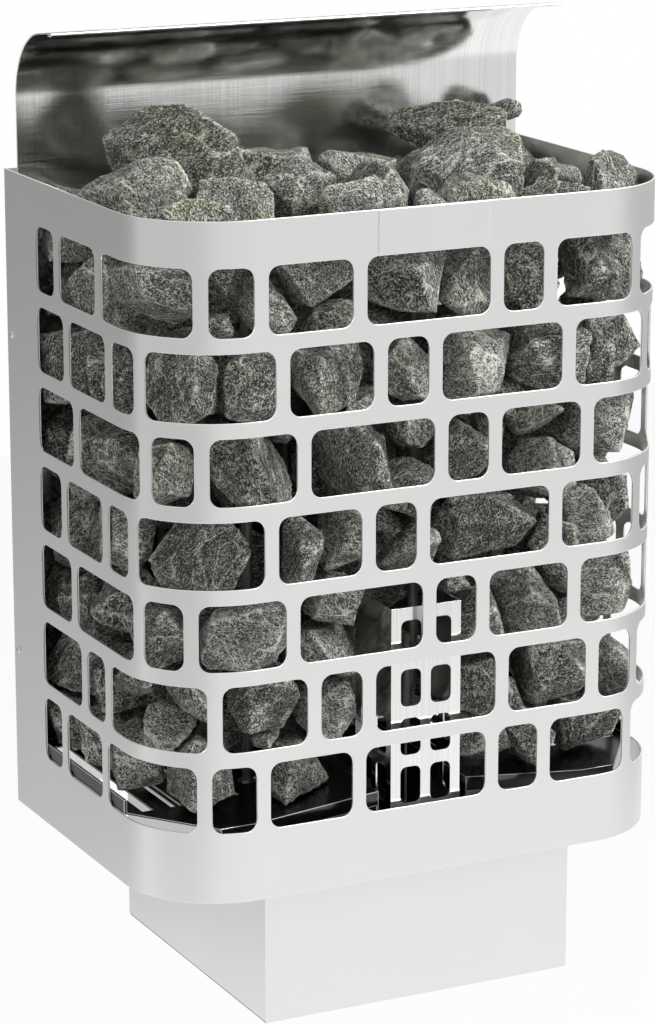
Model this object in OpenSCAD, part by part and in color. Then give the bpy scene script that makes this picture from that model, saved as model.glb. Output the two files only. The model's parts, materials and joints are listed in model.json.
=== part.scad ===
// Wall-hung electric sauna heater: a pierced steel jacket full of stones round three tubular elements,
// with a polished reflector behind them, a terminal box below and a hook-on wall bracket.
// +X is to the right, +Y runs into the wall and +Z is up. The origin is on the wall, at the centre of
// the bracket's four screw holes. Depths below are measured forward from the wall.

/* [Jacket] */
// Width over the side walls
jacket_w = 410; // [380:1:440]
// Depth from the front wall to the wall of the room
jacket_d = 272; // [264:1:290]
// Height from the lower edge to the rim
jacket_h = 478; // [476:1:490]
// Outer radius of the two front corners
jacket_r = 70.5; // [60:0.5:76]
// Sheet thickness of the jacket
jacket_t = 1.5; // [1:0.1:2]
// Width of the plain plate on the top band
plate_w = 85; // [60:1:100]
// Thickness of the plain plate
plate_t = 0.8; // [0.6:0.1:1.2]
// Depth of the side screws forward of the wall
side_screw_y = 9; // [7:0.5:12]
// Heights of the side screws above the jacket's lower edge
side_screw_z = [120, 358];

/* [Windows] */
// Height of the plain band under the rim
top_band = 32; // [28:1:36]
// Height of the plain band at the jacket's lower edge
bottom_band = 51; // [48:1:56]
// Rows of windows
window_rows = 7; // [5:1:7]
// Height of the bar between two rows
row_gap = 11; // [9:0.5:14]
// Width of the narrow window, which the others are two and three times
window_unit = 31.5; // [28:0.5:34]
// Width of the bar between two windows
window_gap = 10.8; // [9:0.1:14]
// Corner radius of a window
window_r = 8; // [4:0.5:10]
// Plain sheet behind the first window and after the last one, along the wall
side_margin = 58.5; // [45:0.5:70]

/* [Terminal box] */
// Width of the box
box_w = 244; // [230:1:250]
// Gap between the box's back and the wall
box_rear = 15; // [12:1:20]
// Height of the box below the jacket's lower edge
box_h = 100; // [90:1:120]
// Set-back of the box's front from the jacket's front
box_setback = 16; // [12:1:18]
// Height of the box's top above the jacket's lower edge
box_top = 12; // [8:1:14]
// Sheet thickness of the box
box_t = 1.2; // [1:0.1:1.6]
// Width of the flange that the cover is screwed to
cover_flange = 14; // [12:1:18]
// Thickness of the element plate on the box
element_plate_t = 2; // [1.5:0.5:3]

/* [Reflector and rear panel] */
// Depth from the reflector's face to the wall
reflector_y = 21.4; // [20:0.1:24]
// Sheet thickness of the reflector
reflector_t = 1; // [0.8:0.1:1.2]
// Height over the rim at which the reflector starts to curve
reflector_rise = 54; // [40:1:70]
// Outer radius of the reflector's curl
reflector_r = 50; // [40:1:60]
// Angle through which the reflector curls
reflector_turn = 83; // [70:1:88]
// Length of the straight lip after the curl
lip_l = 25; // [18:1:30]
// Length of the hem at the lip's edge
hem_l = 6; // [4:0.5:8]
// Thickness of the hem
hem_t = 2.8; // [2:0.1:3.5]
// Sheet thickness of the rear panel
rear_t = 1.2; // [1:0.1:1.6]
// Depth of the rear panel's side flanges
flange_d = 18; // [14:0.5:18.5]

/* [Wall bracket] */
// Height of the bracket's screw holes above the jacket's lower edge
bracket_z = 380; // [340:1:400]
// Width of the bracket
bracket_w = 260; // [240:1:320]
// Height of the bracket
bracket_h = 70; // [66:1:90]
// Sheet thickness of the bracket and hangers
bracket_t = 2; // [1.5:0.1:2.5]
// Distance between the screw holes across the bracket
hole_x = 200; // [180:1:220]
// Distance between the screw holes up the bracket
hole_z = 44; // [40:1:50]
// Radius of the screw holes
hole_r = 3.5; // [2.5:0.1:4.5]
// Distance of each hook from the middle
hook_x = 60; // [50:1:70]
// Width of a hook
hook_w = 50; // [30:1:60]
// Depth of the hook forward of the wall
hook_d = 10; // [9:0.5:11]
// Height of the hook's upturned lip
hook_h = 16; // [12:1:20]
// Distance of each wall spacer from the middle
spacer_x = 165; // [130:1:180]
// Radius of a wall spacer
spacer_r = 9; // [6:0.5:12]

/* [Heating elements] */
// Radius of an element's tube
tube_r = 4.1; // [3.5:0.1:4.3]
// Distance between the legs of an element
leg_pitch = 66; // [56:1:72]
// Depth of the upper bends' crown below the rim
element_rim = 58; // [50:1:110]
// Height of the middle bend's lowest point above the jacket's lower edge
element_low = 84; // [80:1:100]
// Depths of the three elements forward of the wall
element_depths = [34, 107, 180];
// Half of the space kept free of stones at each element
element_free = 6; // [5:0.5:8]
// Radius of the ferrule at each element's foot
ferrule_r = 7; // [6:0.5:9]

/* [Air channel] */
// Width of the pierced channel in the middle of the front
channel_w = 55; // [50:1:60]
// Depth of the channel
channel_d = 55; // [45:1:60]
// Height of the channel's top above the jacket's lower edge
channel_top = 194; // [180:1:200]
// Set-back of the channel from the jacket's front
channel_setback = 8; // [5:1:12]
// Sheet thickness of the channel
channel_t = 1.2; // [1:0.1:1.6]
// Width of a channel window
slot_w = 16; // [12:0.5:18]
// Height of a channel window
slot_h = 27; // [22:0.5:28]
// Height from one channel window to the next
slot_pitch = 35.8; // [34:0.1:37]

/* [Stone tray] */
// Height of the tray at its inner edges
tray_high = 61; // [56:0.5:64]
// Height of the tray at the side walls
tray_low = 52; // [48:0.5:56]
// Distance of the tray's inner edge from the middle
tray_in = 35; // [32:0.5:40]
// Distance from the middle at which the slope ends
tray_fold = 130; // [120:1:140]
// Sheet thickness of the tray
tray_t = 1.5; // [1.2:0.1:2]
// Height of the tray's turned edges
tray_edge = 9; // [6:0.5:12]
// Width of the air slots in the tray
air_slot = 8; // [6:0.5:10]

/* [Stones] */
// Gap left between two stones
stone_gap = 0.4; // [0.3:0.05:0.6]
// Reach of a stone towards its neighbours, in radii
stone_reach = 1.6; // [1.4:0.05:1.8]

/* [Electrics] */
// Radius of the cable gland's bore
gland_bore = 6; // [4:0.5:7]
// Radius of the gland's thread
gland_r = 10; // [9:0.5:12]
// Radius of the reset button
button_r = 4; // [3:0.25:5]
// Travel of the reset button
button_travel = 2.5; // [1.5:0.25:3]
// Width of the terminal block
block_w = 96; // [90:1:110]
// Radius of a wire in the box
wire_r = 1.6; // [1.2:0.1:2]

/* [Hidden] */
$fn = 48;

steel = "#cfcfcb";
mirror_steel = "#d8d8d6";
dull_steel = "#9a9a98";
rock = "#5f6159";

// Lists of windows: the first window's width and the order of the next ones, in units.
first_units = [1, 1.5, 2, 1.22, 1.73, 2.24, 1];
unit_orders = [[2, 3, 1], [2, 1, 3], [3, 1, 2], [2, 1, 3], [3, 1, 2], [1, 3, 2], [2, 3, 1]];
least_window = 15;

front_y = -jacket_d;
half_in = jacket_w / 2 - jacket_t;
side_l = jacket_d - jacket_r;
corner_l = PI * jacket_r / 2;
front_l = jacket_w - 2 * jacket_r;
girth = 2 * side_l + 2 * corner_l + front_l;

window_h = (jacket_h - top_band - bottom_band - (window_rows - 1) * row_gap) / window_rows;
row_pitch = window_h + row_gap;

box_front = front_y + box_setback;
box_back = -box_rear;
element_top = jacket_h - element_rim;
plate_top = box_top + element_plate_t;
rear_y = -reflector_y + reflector_t;
rear_back = rear_y + rear_t;
channel_front = front_y + channel_setback;
channel_back = channel_front + channel_d;
screw_r = 1.6;
screw_head_r = 3;
screw_gap = 0.15;
fit_gap = 0.3;

// ---- shared shapes ----

// Everything is drawn from the jacket's lower edge and then set on the bracket's height.
module placed() {
    translate([0, 0, -bracket_z]) children();
}

// A block between two corners.
module block(low, high) {
    translate(low) cube(high - low);
}

// A rod along +Z, +X or +Y from a point.
module rod(start, r, l) {
    translate(start) cylinder(r = r, h = l);
}

module rod_x(start, r, l) {
    translate(start) rotate([0, 90, 0]) cylinder(r = r, h = l);
}

module rod_y(start, r, l) {
    translate(start) rotate([-90, 0, 0]) cylinder(r = r, h = l);
}

// A pan-head screw that points along +Z from below its head.
module screw(r, head_r, head_h, l) {
    translate([0, 0, -head_h]) cylinder(r1 = head_r * 0.75, r2 = head_r, h = head_h);
    cylinder(r = r, h = l);
}

// A tube swept along a path of points, with flat ends. Each ring's side vector is carried on from the
// ring before it, so that the tube doesn't twist.
function path_dir(path, i) =
    let (a = path[max(i - 1, 0)], b = path[min(i + 1, len(path) - 1)]) (b - a) / norm(b - a);

function carried_sides(path, last, i = 0) =
    i == len(path) ? []
    : let (d = path_dir(path, i), w = last - (last * d) * d, side = w / norm(w))
        concat([side], carried_sides(path, side, i + 1));

function path_ring(point, d, u, r, sides) =
    let (v = cross(d, u))
    [for (k = [0 : sides - 1]) point + r * (cos(360 * k / sides) * u + sin(360 * k / sides) * v)];

module swept(path, r, first_side, sides = 8) {
    rings = len(path);
    across = carried_sides(path, first_side);
    points = [for (i = [0 : rings - 1]) each path_ring(path[i], path_dir(path, i), across[i], r, sides)];
    walls = [for (i = [0 : rings - 2]) for (k = [0 : sides - 1])
        [i * sides + k, (i + 1) * sides + k,
            (i + 1) * sides + (k + 1) % sides, i * sides + (k + 1) % sides]];
    first = [for (k = [0 : sides - 1]) k];
    last = [for (k = [sides - 1 : -1 : 0]) (rings - 1) * sides + k];
    polyhedron(points, concat([first], [last], walls));
}

// Points of a smooth curve through three points, a quadratic arc.
function bend_points(a, b, c, n) =
    [for (k = [0 : n]) let (t = k / n) (1 - t) * (1 - t) * a + 2 * t * (1 - t) * b + t * t * c];

// ---- jacket ----

// Place and outward normal on the jacket at a distance along its girth from the left rear edge.
function girth_angle(s) =
    s < side_l ? 0
    : s < side_l + corner_l ? (s - side_l) / jacket_r * 180 / PI
    : s < side_l + corner_l + front_l ? 90
    : s < side_l + 2 * corner_l + front_l ? 90 + (s - side_l - corner_l - front_l) / jacket_r * 180 / PI
    : 180;

function girth_point(s) =
    let (a = girth_angle(s), cx = jacket_w / 2 - jacket_r, cy = front_y + jacket_r)
    s < side_l ? [-jacket_w / 2, -s]
    : s < side_l + corner_l ? [-cx - jacket_r * cos(a), cy - jacket_r * sin(a)]
    : s < side_l + corner_l + front_l ? [s - side_l - corner_l - cx, front_y]
    : s < side_l + 2 * corner_l + front_l ? [cx - jacket_r * cos(a), cy - jacket_r * sin(a)]
    : [jacket_w / 2, -(girth - s)];

// Windows of a row as pairs of distances along the girth.
function row_windows(start, units, order, k = 0) =
    let (stop = min(start + units * window_unit, girth - side_margin),
        next = stop + window_gap)
    stop - start < least_window ? []
    : concat([[start, stop]], row_windows(next, order[k % 3], order, k + 1));

// Outline of a window in girth distance and height.
function window_outline(s1, s2, z1, z2) =
    let (r = window_r, mid = [(s1 + s2) / 2, (z1 + z2) / 2],
        half = [(s2 - s1) / 2 - r, (z2 - z1) / 2 - r])
    [for (q = [0 : 3]) for (k = [0 : 4])
        let (a = 90 * q + 22.5 * k, sx = q == 0 || q == 3 ? 1 : -1, sz = q < 2 ? 1 : -1)
        [mid.x + sx * half.x + r * cos(a), mid.y + sz * half.y + r * sin(a)]];

// A punch through the sheet, square to it at the window's middle.
punch_in = 30;
punch_out = 6;
module window_punch(s1, s2, z) {
    mid = (s1 + s2) / 2;
    a = girth_angle(mid);
    centre = girth_point(mid);
    along = [sin(a), -cos(a)];
    outline = [for (p = window_outline(s1, s2, z, z + window_h))
        [(girth_point(p.x) - centre) * along, p.y]];
    deep = abs(a % 90) < 0.01 && girth_angle(s1) == girth_angle(s2) ? punch_out : punch_in;
    translate([centre.x, centre.y, 0]) rotate([0, 0, a - 90]) rotate([90, 0, 0])
        translate([0, 0, -deep]) linear_extrude(deep + punch_out) polygon(outline);
}

module jacket_wall() {
    for (side = [-1, 1]) {
        block([side < 0 ? -jacket_w / 2 : half_in, front_y + jacket_r, 0],
            [side < 0 ? -half_in : jacket_w / 2, 0, jacket_h]);
        translate([side * (jacket_w / 2 - jacket_r), front_y + jacket_r, 0])
            rotate([0, 0, side < 0 ? 180 : 270]) rotate_extrude(angle = 90)
                translate([jacket_r - jacket_t, 0]) square([jacket_t, jacket_h]);
    }
    block([-front_l / 2, front_y, 0], [front_l / 2, front_y + jacket_t, jacket_h]);
}

module jacket() {
    color(steel) placed() difference() {
        jacket_wall();
        for (row = [0 : window_rows - 1]) {
            z = jacket_h - top_band - window_h - row * row_pitch;
            for (w = row_windows(side_margin, first_units[row], unit_orders[row]))
                window_punch(w[0], w[1], z);
        }
        for (z = side_screw_z)
            rod_x([-jacket_w, -side_screw_y, z], screw_r, 2 * jacket_w);
    }
}

module name_plate() {
    color(steel) placed()
        block([-plate_w / 2, front_y - plate_t, jacket_h - top_band + 2],
            [plate_w / 2, front_y, jacket_h - 0.5]);
}

module side_screws() {
    head_h = 1.4;
    color(dull_steel) placed() for (side = [-1, 1]) for (z = side_screw_z)
        translate([side * jacket_w / 2, -side_screw_y, z]) rotate([0, -90 * side, 0])
            screw(screw_r - screw_gap, screw_head_r, head_h, jacket_t + rear_t + 3);
}

// ---- rear panel, reflector and wall fixing ----

rear_half = half_in;
module rear_panel() {
    color(dull_steel) placed() difference() {
        union() {
            block([-rear_half, rear_y, plate_top], [rear_half, rear_back, jacket_h]);
            for (side = [-1, 1])
                block([side < 0 ? -rear_half : rear_half - rear_t, rear_back, plate_top],
                    [side < 0 ? -rear_half + rear_t : rear_half, rear_y + flange_d, jacket_h]);
            block([-rear_half + rear_t, rear_back, jacket_h - rear_t],
                [rear_half - rear_t, rear_y + flange_d, jacket_h]);
        }
        for (z = side_screw_z)
            rod_x([-jacket_w, -side_screw_y, z], screw_r, 2 * jacket_w);
    }
}

// The sheet runs up from the element plate, curls forward over the stones and ends in a hem.
reflector_half = half_in - 0.5;
lip_overlap = 1.5;
lip_inset = 0.05;
module back_reflector() {
    curl_z = jacket_h + reflector_rise;
    curl_y = -reflector_y + reflector_t - reflector_r;
    color(mirror_steel) placed() {
        block([-reflector_half, -reflector_y, plate_top],
            [reflector_half, -reflector_y + reflector_t, curl_z]);
        translate([-reflector_half, curl_y, curl_z]) rotate([90, 0, 90])
            rotate_extrude(angle = reflector_turn, $fn = 96)
                translate([reflector_r - reflector_t, 0]) square([reflector_t, 2 * reflector_half]);
        translate([-reflector_half, curl_y, curl_z]) rotate([reflector_turn, 0, 0]) {
            block([0, reflector_r - reflector_t + lip_inset, -lip_overlap],
                [2 * reflector_half, reflector_r - lip_inset, lip_l]);
            block([0, reflector_r - hem_t, lip_l - hem_l],
                [2 * reflector_half, reflector_r - reflector_t + lip_inset, lip_l]);
        }
    }
}

// Bracket heights are measured from its screw holes.
hook_low = -bracket_h / 2 + 5;
hook_top = hook_low + bracket_t + hook_h;
hanger_gap = 1.3;
module wall_bracket() {
    color(dull_steel) difference() {
        union() {
            block([-bracket_w / 2, -bracket_t, -bracket_h / 2], [bracket_w / 2, 0, bracket_h / 2]);
            for (side = [-1, 1]) translate([side * hook_x - hook_w / 2, 0, 0]) {
                block([0, -hook_d, hook_low], [hook_w, -bracket_t, hook_low + bracket_t]);
                block([0, -hook_d, hook_low + bracket_t], [hook_w, -hook_d + bracket_t, hook_top]);
            }
        }
        for (x = [-hole_x / 2, hole_x / 2]) for (z = [-hole_z / 2, hole_z / 2])
            rod_y([x, -3 * bracket_t, z], hole_r, 6 * bracket_t);
    }
}

// Each hanger is a plate on the rear panel whose top folds back and down behind the hook's lip.
hanger_w = hook_w - 6;
module wall_hangers() {
    seat = hook_top + fit_gap;
    lip_y = -hook_d + bracket_t + hanger_gap;
    color(dull_steel) for (side = [-1, 1]) translate([side * hook_x - hanger_w / 2, 0, 0]) {
        block([0, rear_back, hook_low - 12], [hanger_w, rear_back + bracket_t, seat]);
        block([0, rear_back, seat], [hanger_w, lip_y + bracket_t, seat + bracket_t]);
        block([0, lip_y, seat - hook_h + 2], [hanger_w, lip_y + bracket_t, seat]);
    }
}

spacer_z = 60;
module wall_spacers() {
    color("#2b2b2b") placed() for (side = [-1, 1])
        rod_y([side * spacer_x, rear_back, spacer_z], spacer_r, -rear_back - fit_gap);
}

// ---- terminal box ----

gland_y = box_back - 34;
gland_z = -62;
limiter_y = -(element_depths[1] + element_depths[2]) / 2;
limiter_z = -60;
limiter_l = 30;
limiter_w = 32;
limiter_h = 28;
limiter_hole_r = button_r + 2.5;
tab_l = 13;
tab_screw = 10;

function cover_points() = [for (x = [-1, 1]) for (y = [0, 1])
    [x * (box_w / 2 - cover_flange / 2), y == 0 ? box_front + box_t + cover_flange / 2
        : box_back - box_t - cover_flange / 2]];

module terminal_box() {
    low = -box_h + box_t;
    color(steel) placed() difference() {
        union() {
            difference() {
                block([-box_w / 2, box_front, low], [box_w / 2, box_back, box_top]);
                block([-box_w / 2 + box_t, box_front + box_t, low - 1],
                    [box_w / 2 - box_t, box_back - box_t, box_top + 1]);
            }
            difference() {
                block([-box_w / 2 + box_t, box_front + box_t, low],
                    [box_w / 2 - box_t, box_back - box_t, low + box_t]);
                block([-box_w / 2 + cover_flange, box_front + cover_flange, low - 1],
                    [box_w / 2 - cover_flange, box_back - cover_flange, low + box_t + 1]);
            }
            for (x = [-1, 1]) for (y = [box_front + box_t, box_back - box_t - tab_l])
                translate([x < 0 ? -box_w / 2 + box_t : box_w / 2 - box_t - tab_l, y, box_top - box_t])
                    cube([tab_l, tab_l, box_t]);
        }
        for (p = cover_points()) rod([p.x, p.y, low - 1], screw_r, 2 * box_t + 2);
        for (p = plate_points()) rod([p.x, p.y, box_top - 5], screw_r, 10);
        rod_x([box_w / 2 - 3, gland_y, gland_z], gland_r + 0.2, 6);
        rod_x([box_w / 2 - 3, limiter_y, limiter_z], limiter_hole_r + 0.2, 6);
    }
}

function plate_points() = [for (x = [-1, 1])
    for (y = [box_front + box_t + tab_screw, box_back - box_t - tab_screw])
    [x * (box_w / 2 - box_t - tab_screw), y]];

cover_inset = 0.6;
vent_r = 2.5;
vent_pitch = 16;
vent_y = 60;
module box_cover() {
    color(steel) placed() difference() {
        block([-box_w / 2 + cover_inset, box_front + cover_inset, -box_h],
            [box_w / 2 - cover_inset, box_back - cover_inset, -box_h + box_t]);
        for (p = cover_points()) rod([p.x, p.y, -box_h - 1], screw_r, box_t + 2);
        for (k = [-4 : 4]) rod([vent_pitch * k, box_front + vent_y, -box_h - 1], vent_r, box_t + 2);
    }
}

// The cover's screws have low heads just under the cover.
module cover_screws() {
    color(dull_steel) placed() for (p = cover_points())
        translate([p.x, p.y, -box_h]) screw(screw_r - screw_gap, screw_head_r, 1, 2 * box_t + 3);
}

// ---- element plate and elements ----

leg_xs = [-1.5 * leg_pitch, 1.5 * leg_pitch];

module element_plate() {
    color(dull_steel) placed() difference() {
        block([-box_w / 2, box_front, box_top], [box_w / 2, box_back, plate_top]);
        for (y = element_depths) for (x = leg_xs)
            rod([x, -y, box_top - 1], tube_r + 0.6, element_plate_t + 2);
        for (p = plate_points()) rod([p.x, p.y, box_top - 1], screw_r, element_plate_t + 2);
        rod([0, channel_front + 30, box_top - 1], 4, element_plate_t + 2);
    }
}

module plate_screws() {
    color(dull_steel) placed() for (p = plate_points())
        translate([p.x, p.y, plate_top]) rotate([180, 0, 0])
            screw(screw_r - screw_gap, screw_head_r, 1.6, element_plate_t + box_t + 3);
}

leg_end = -14;
pin_end = -30;
pin_r = 1.6;
module element(y) {
    r = leg_pitch / 2;
    high = element_top - r - tube_r;
    low = element_low + r + tube_r;
    translate([0, -y, 0]) {
        for (x = leg_xs) {
            rod([x, 0, leg_end], tube_r, high - leg_end);
            rod([x, 0, pin_end], pin_r, leg_end - pin_end);
        }
        for (x = [-r, r]) rod([x, 0, low], tube_r, high - low);
        for (x = [-leg_pitch, leg_pitch]) translate([x, 0, high]) rotate([90, 0, 0])
            rotate_extrude(angle = 180) translate([r, 0]) circle(tube_r);
        translate([0, 0, low]) rotate([90, 0, 0]) rotate([0, 0, 180])
            rotate_extrude(angle = 180) translate([r, 0]) circle(tube_r);
    }
}

module heating_element_front() {
    color("#6e6a66") placed() element(element_depths[2]);
}

module heating_element_middle() {
    color("#6e6a66") placed() element(element_depths[1]);
}

module heating_element_rear() {
    color("#6e6a66") placed() element(element_depths[0]);
}

// A ferrule is a collar on the plate with a threaded shank below it.
collar_h = 6;
shank_r = tube_r + 1.6;
module element_ferrules() {
    color("#b08d57") placed() for (y = element_depths) for (x = leg_xs)
        translate([x, -y, 0]) difference() {
            rod([0, 0, plate_top], ferrule_r, collar_h);
            rod([0, 0, plate_top - 1], tube_r + 0.05, collar_h + 2);
        }
}

nut_h = 5;
module element_nuts() {
    color(dull_steel) placed() for (y = element_depths) for (x = leg_xs)
        translate([x, -y, 0]) difference() {
            translate([0, 0, box_top - nut_h]) cylinder(r = ferrule_r + 1.5, h = nut_h, $fn = 6);
            rod([0, 0, box_top - nut_h - 1], tube_r + 0.05, nut_h + 2);
        }
}

module element_beads() {
    color("#e8e2d4") placed() for (y = element_depths) for (x = leg_xs)
        translate([x, -y, 0]) difference() {
            rod([0, 0, leg_end - 6], tube_r, 6);
            rod([0, 0, leg_end - 7], pin_r + 0.05, 8);
        }
}

// ---- air channel with the sensor ----

channel_post = 7.6;
slot_x = (channel_w - channel_post) / 4;
slot_rows = 4;
slot_first = channel_top - 9.4;
rivet_head_r = 2.6;
rivet_head_h = 1.2;

module slot_outline() {
    r = 4.5;
    points = [for (q = [0 : 3]) for (k = [0 : 3])
        let (a = 90 * q + 30 * k, sx = q == 0 || q == 3 ? 1 : -1, sz = q < 2 ? 1 : -1)
        [sx * (slot_w / 2 - r) + r * cos(a), sz * (slot_h / 2 - r) + r * sin(a)]];
    polygon(points);
}

module air_channel() {
    inner = channel_w / 2 - channel_t;
    color(mirror_steel) placed() difference() {
        block([-channel_w / 2, channel_front, plate_top], [channel_w / 2, channel_back, channel_top]);
        block([-inner, channel_front + channel_t, plate_top - 1],
            [inner, channel_back + 1, channel_top + 1]);
        for (k = [0 : slot_rows - 1]) translate([0, 0, slot_first - slot_h / 2 - k * slot_pitch]) {
            for (side = [-1, 1]) {
                translate([side * slot_x, channel_front + 3, 0]) rotate([90, 0, 0])
                    linear_extrude(6) slot_outline();
                if (k > 1) for (y = [15, 38])
                    translate([side * (channel_w / 2 - 3), channel_front + y, 0])
                        rotate([90, 0, 90 * side]) linear_extrude(6) slot_outline();
            }
        }
        for (x = [-1, 1]) rod_x([x < 0 ? -channel_w / 2 - 1 : channel_w / 2 - 3,
            channel_back - 5, plate_top + 8], screw_r, 4);
    }
}

// A rivet on each side of the channel's foot.
module channel_rivets() {
    color(dull_steel) placed() for (side = [-1, 1])
        translate([side * channel_w / 2, channel_back - 5, plate_top + 8]) rotate([0, -90 * side, 0])
            screw(screw_r - screw_gap, rivet_head_r, rivet_head_h, channel_t + 1.5);
}

bulb_r = 3;
bulb_y = channel_front + 30;
bulb_low = 96;
bulb_l = 70;
clip_in = 12;
clip_half = 7;
module sensor_bulb() {
    color("#6e6a66") placed() rod([0, bulb_y, bulb_low], bulb_r, bulb_l);
}

// The clip is a strip across the channel with a hole that the bulb hangs in.
module sensor_clip() {
    inner = channel_w / 2 - channel_t;
    color(dull_steel) placed() for (z = [bulb_low + clip_in, bulb_low + bulb_l - clip_in]) difference() {
        block([-inner, bulb_y - clip_half, z], [inner, bulb_y + clip_half, z + 1.5]);
        rod([0, bulb_y, z - 1], bulb_r + 0.05, 4);
    }
}

// The capillary hangs from the bulb through the plate, crosses the box and ends on the limiter.
capillary_r = 1;
capillary_z = -24;
module capillary_tube() {
    body = [wall_in - limiter_l / 2, limiter_y, limiter_z + limiter_h / 2];
    route = concat([[0, bulb_y, bulb_low], [0, bulb_y, plate_top], [0, bulb_y, box_top / 2]],
        bend_points([0, bulb_y, -box_top], [0, limiter_y, capillary_z],
            [body.x / 2, limiter_y, capillary_z], 6),
        bend_points([body.x * 0.85, limiter_y, capillary_z], [body.x, limiter_y, capillary_z], body, 5));
    color("#6e6a66") placed() swept(route, capillary_r, [1, 0, 0]);
}

// ---- stone tray ----

// Cross-section of the right wing: inner leg, slope, flat and turned outer edge.
function tray_profile() = let (t = tray_t, out = half_in - 0.2) [
    [tray_in, plate_top], [tray_in + t, plate_top], [tray_in + t, tray_high - t],
    [tray_fold, tray_low - t], [out, tray_low - t], [out, tray_low + tray_edge],
    [out - t, tray_low + tray_edge], [out - t, tray_low], [tray_fold, tray_low], [tray_in, tray_high]];

tray_front = front_y + 12;
tray_corner = 48;
slot_front = 70;
slot_rear = 20;
slot_first_x = 20;
slot_step = 22;
module tray_wing() {
    corner_x = jacket_w / 2 - tray_corner;
    difference() {
        union() {
            translate([0, -reflector_y, 0]) rotate([90, 0, 0])
                linear_extrude(-reflector_y - tray_front) polygon(tray_profile());
            intersection() {
                translate([0, tray_front + tray_t, 0]) rotate([90, 0, 0]) linear_extrude(tray_t)
                    polygon([[tray_in, tray_high - tray_t - tray_edge], [tray_in, tray_high - tray_t / 2],
                        [tray_fold, tray_low - tray_t / 2], [corner_x, tray_low - tray_t / 2],
                        [corner_x, tray_low - tray_t - tray_edge],
                        [tray_fold, tray_low - tray_t - tray_edge]]);
                block([0, tray_front, 0], [corner_x, tray_front + tray_t, tray_high]);
            }
        }
        translate([0, 0, plate_top - 1]) linear_extrude(tray_high)
            polygon([[corner_x, tray_front - 1], [jacket_w / 2, tray_front - 1],
                [jacket_w / 2, front_y + jacket_r + 6]]);
        for (y = element_depths) rod([leg_xs[1], -y, 0], tube_r + 3, 2 * tray_high);
        for (k = [0, 1, 3, 4, 5, 6]) let (x = tray_in + slot_first_x + k * slot_step)
            block([x - air_slot / 2, front_y + slot_front, plate_top],
                [x + air_slot / 2, -reflector_y - slot_rear, 2 * tray_high]);
    }
}

module tray_right() {
    color(mirror_steel) placed() tray_wing();
}

module tray_left() {
    color(mirror_steel) placed() mirror([1, 0, 0]) tray_wing();
}

// ---- electrics in the box ----

block_h = 26;
block_d = 22;
block_z = -70;
block_poles = 6;
pole_w = block_w / block_poles;
module terminal_block() {
    color("#e9e6dc") placed() difference() {
        block([-block_w / 2, box_back - box_t - block_d, block_z],
            [block_w / 2, box_back - box_t, block_z + block_h]);
        for (k = [0 : block_poles - 1]) translate([-block_w / 2 + (k + 0.5) * pole_w, 0, 0]) {
            block([-pole_w / 2 + 2, box_back - box_t - block_d - 1, block_z + 6],
                [pole_w / 2 - 2, box_back - box_t - block_d + 7, block_z + block_h - 6]);
            rod([0, box_back - box_t - block_d / 2, block_z + block_h - 8], wire_r + 0.3, 10);
        }
    }
}

module block_screws() {
    color("#b08d57") placed() for (k = [0 : block_poles - 1])
        rod_y([-block_w / 2 + (k + 0.5) * pole_w, box_back - box_t - block_d + 2,
            block_z + block_h / 2], 3, 5);
}

stud_x = -box_w / 2 + 26;
stud_l = 22;
module earth_stud() {
    color("#b08d57") placed()
        rod_y([stud_x, box_back - box_t - stud_l, gland_z], 2.5, stud_l);
}

module earth_nuts() {
    color("#b08d57") placed() for (y = [4, 10]) difference() {
        translate([stud_x, box_back - box_t - y, gland_z]) rotate([90, 0, 0])
            cylinder(r = 4.6, h = 4, $fn = 6);
        rod_y([stud_x, box_back - box_t - y - 5, gland_z], 2.52, 6);
    }
}

wall_in = box_w / 2 - box_t;
module limiter_body() {
    color("#33353a") placed() difference() {
        union() {
            block([wall_in - limiter_l, limiter_y - limiter_w / 2, limiter_z - limiter_h / 2],
                [wall_in, limiter_y + limiter_w / 2, limiter_z + limiter_h / 2]);
            rod_x([wall_in, limiter_y, limiter_z], limiter_hole_r, box_t + 5);
        }
        rod_x([wall_in - 12, limiter_y, limiter_z], button_r + 0.3, 30);
    }
}

module limiter_nut() {
    color(dull_steel) placed() difference() {
        translate([box_w / 2, limiter_y, limiter_z]) rotate([0, 90, 0])
            cylinder(r = limiter_hole_r + 3, h = 3, $fn = 6);
        rod_x([box_w / 2 - 1, limiter_y, limiter_z], limiter_hole_r + 0.05, 6);
    }
}

button_rest = 4;
module reset_button() {
    color("#b3261e") placed()
        rod_x([wall_in - 12 + button_travel + 1, limiter_y, limiter_z], button_r,
            12 + box_t + 5 + button_rest - button_travel - 1);
}

module cable_gland() {
    color("#2e2e2e") placed() difference() {
        union() {
            rod_x([wall_in - 10, gland_y, gland_z], gland_r, 10 + box_t);
            translate([box_w / 2, gland_y, gland_z]) rotate([0, 90, 0])
                cylinder(r = gland_r + 3, h = 5, $fn = 6);
            rod_x([box_w / 2 + 5, gland_y, gland_z], gland_r + 1, 12);
        }
        rod_x([wall_in - 11, gland_y, gland_z], gland_bore, 40);
    }
}

module gland_nut() {
    color("#2e2e2e") placed() difference() {
        translate([wall_in - 4, gland_y, gland_z]) rotate([0, 90, 0])
            cylinder(r = gland_r + 3, h = 4, $fn = 6);
        rod_x([wall_in - 5, gland_y, gland_z], gland_r + 0.05, 6);
    }
}

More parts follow.
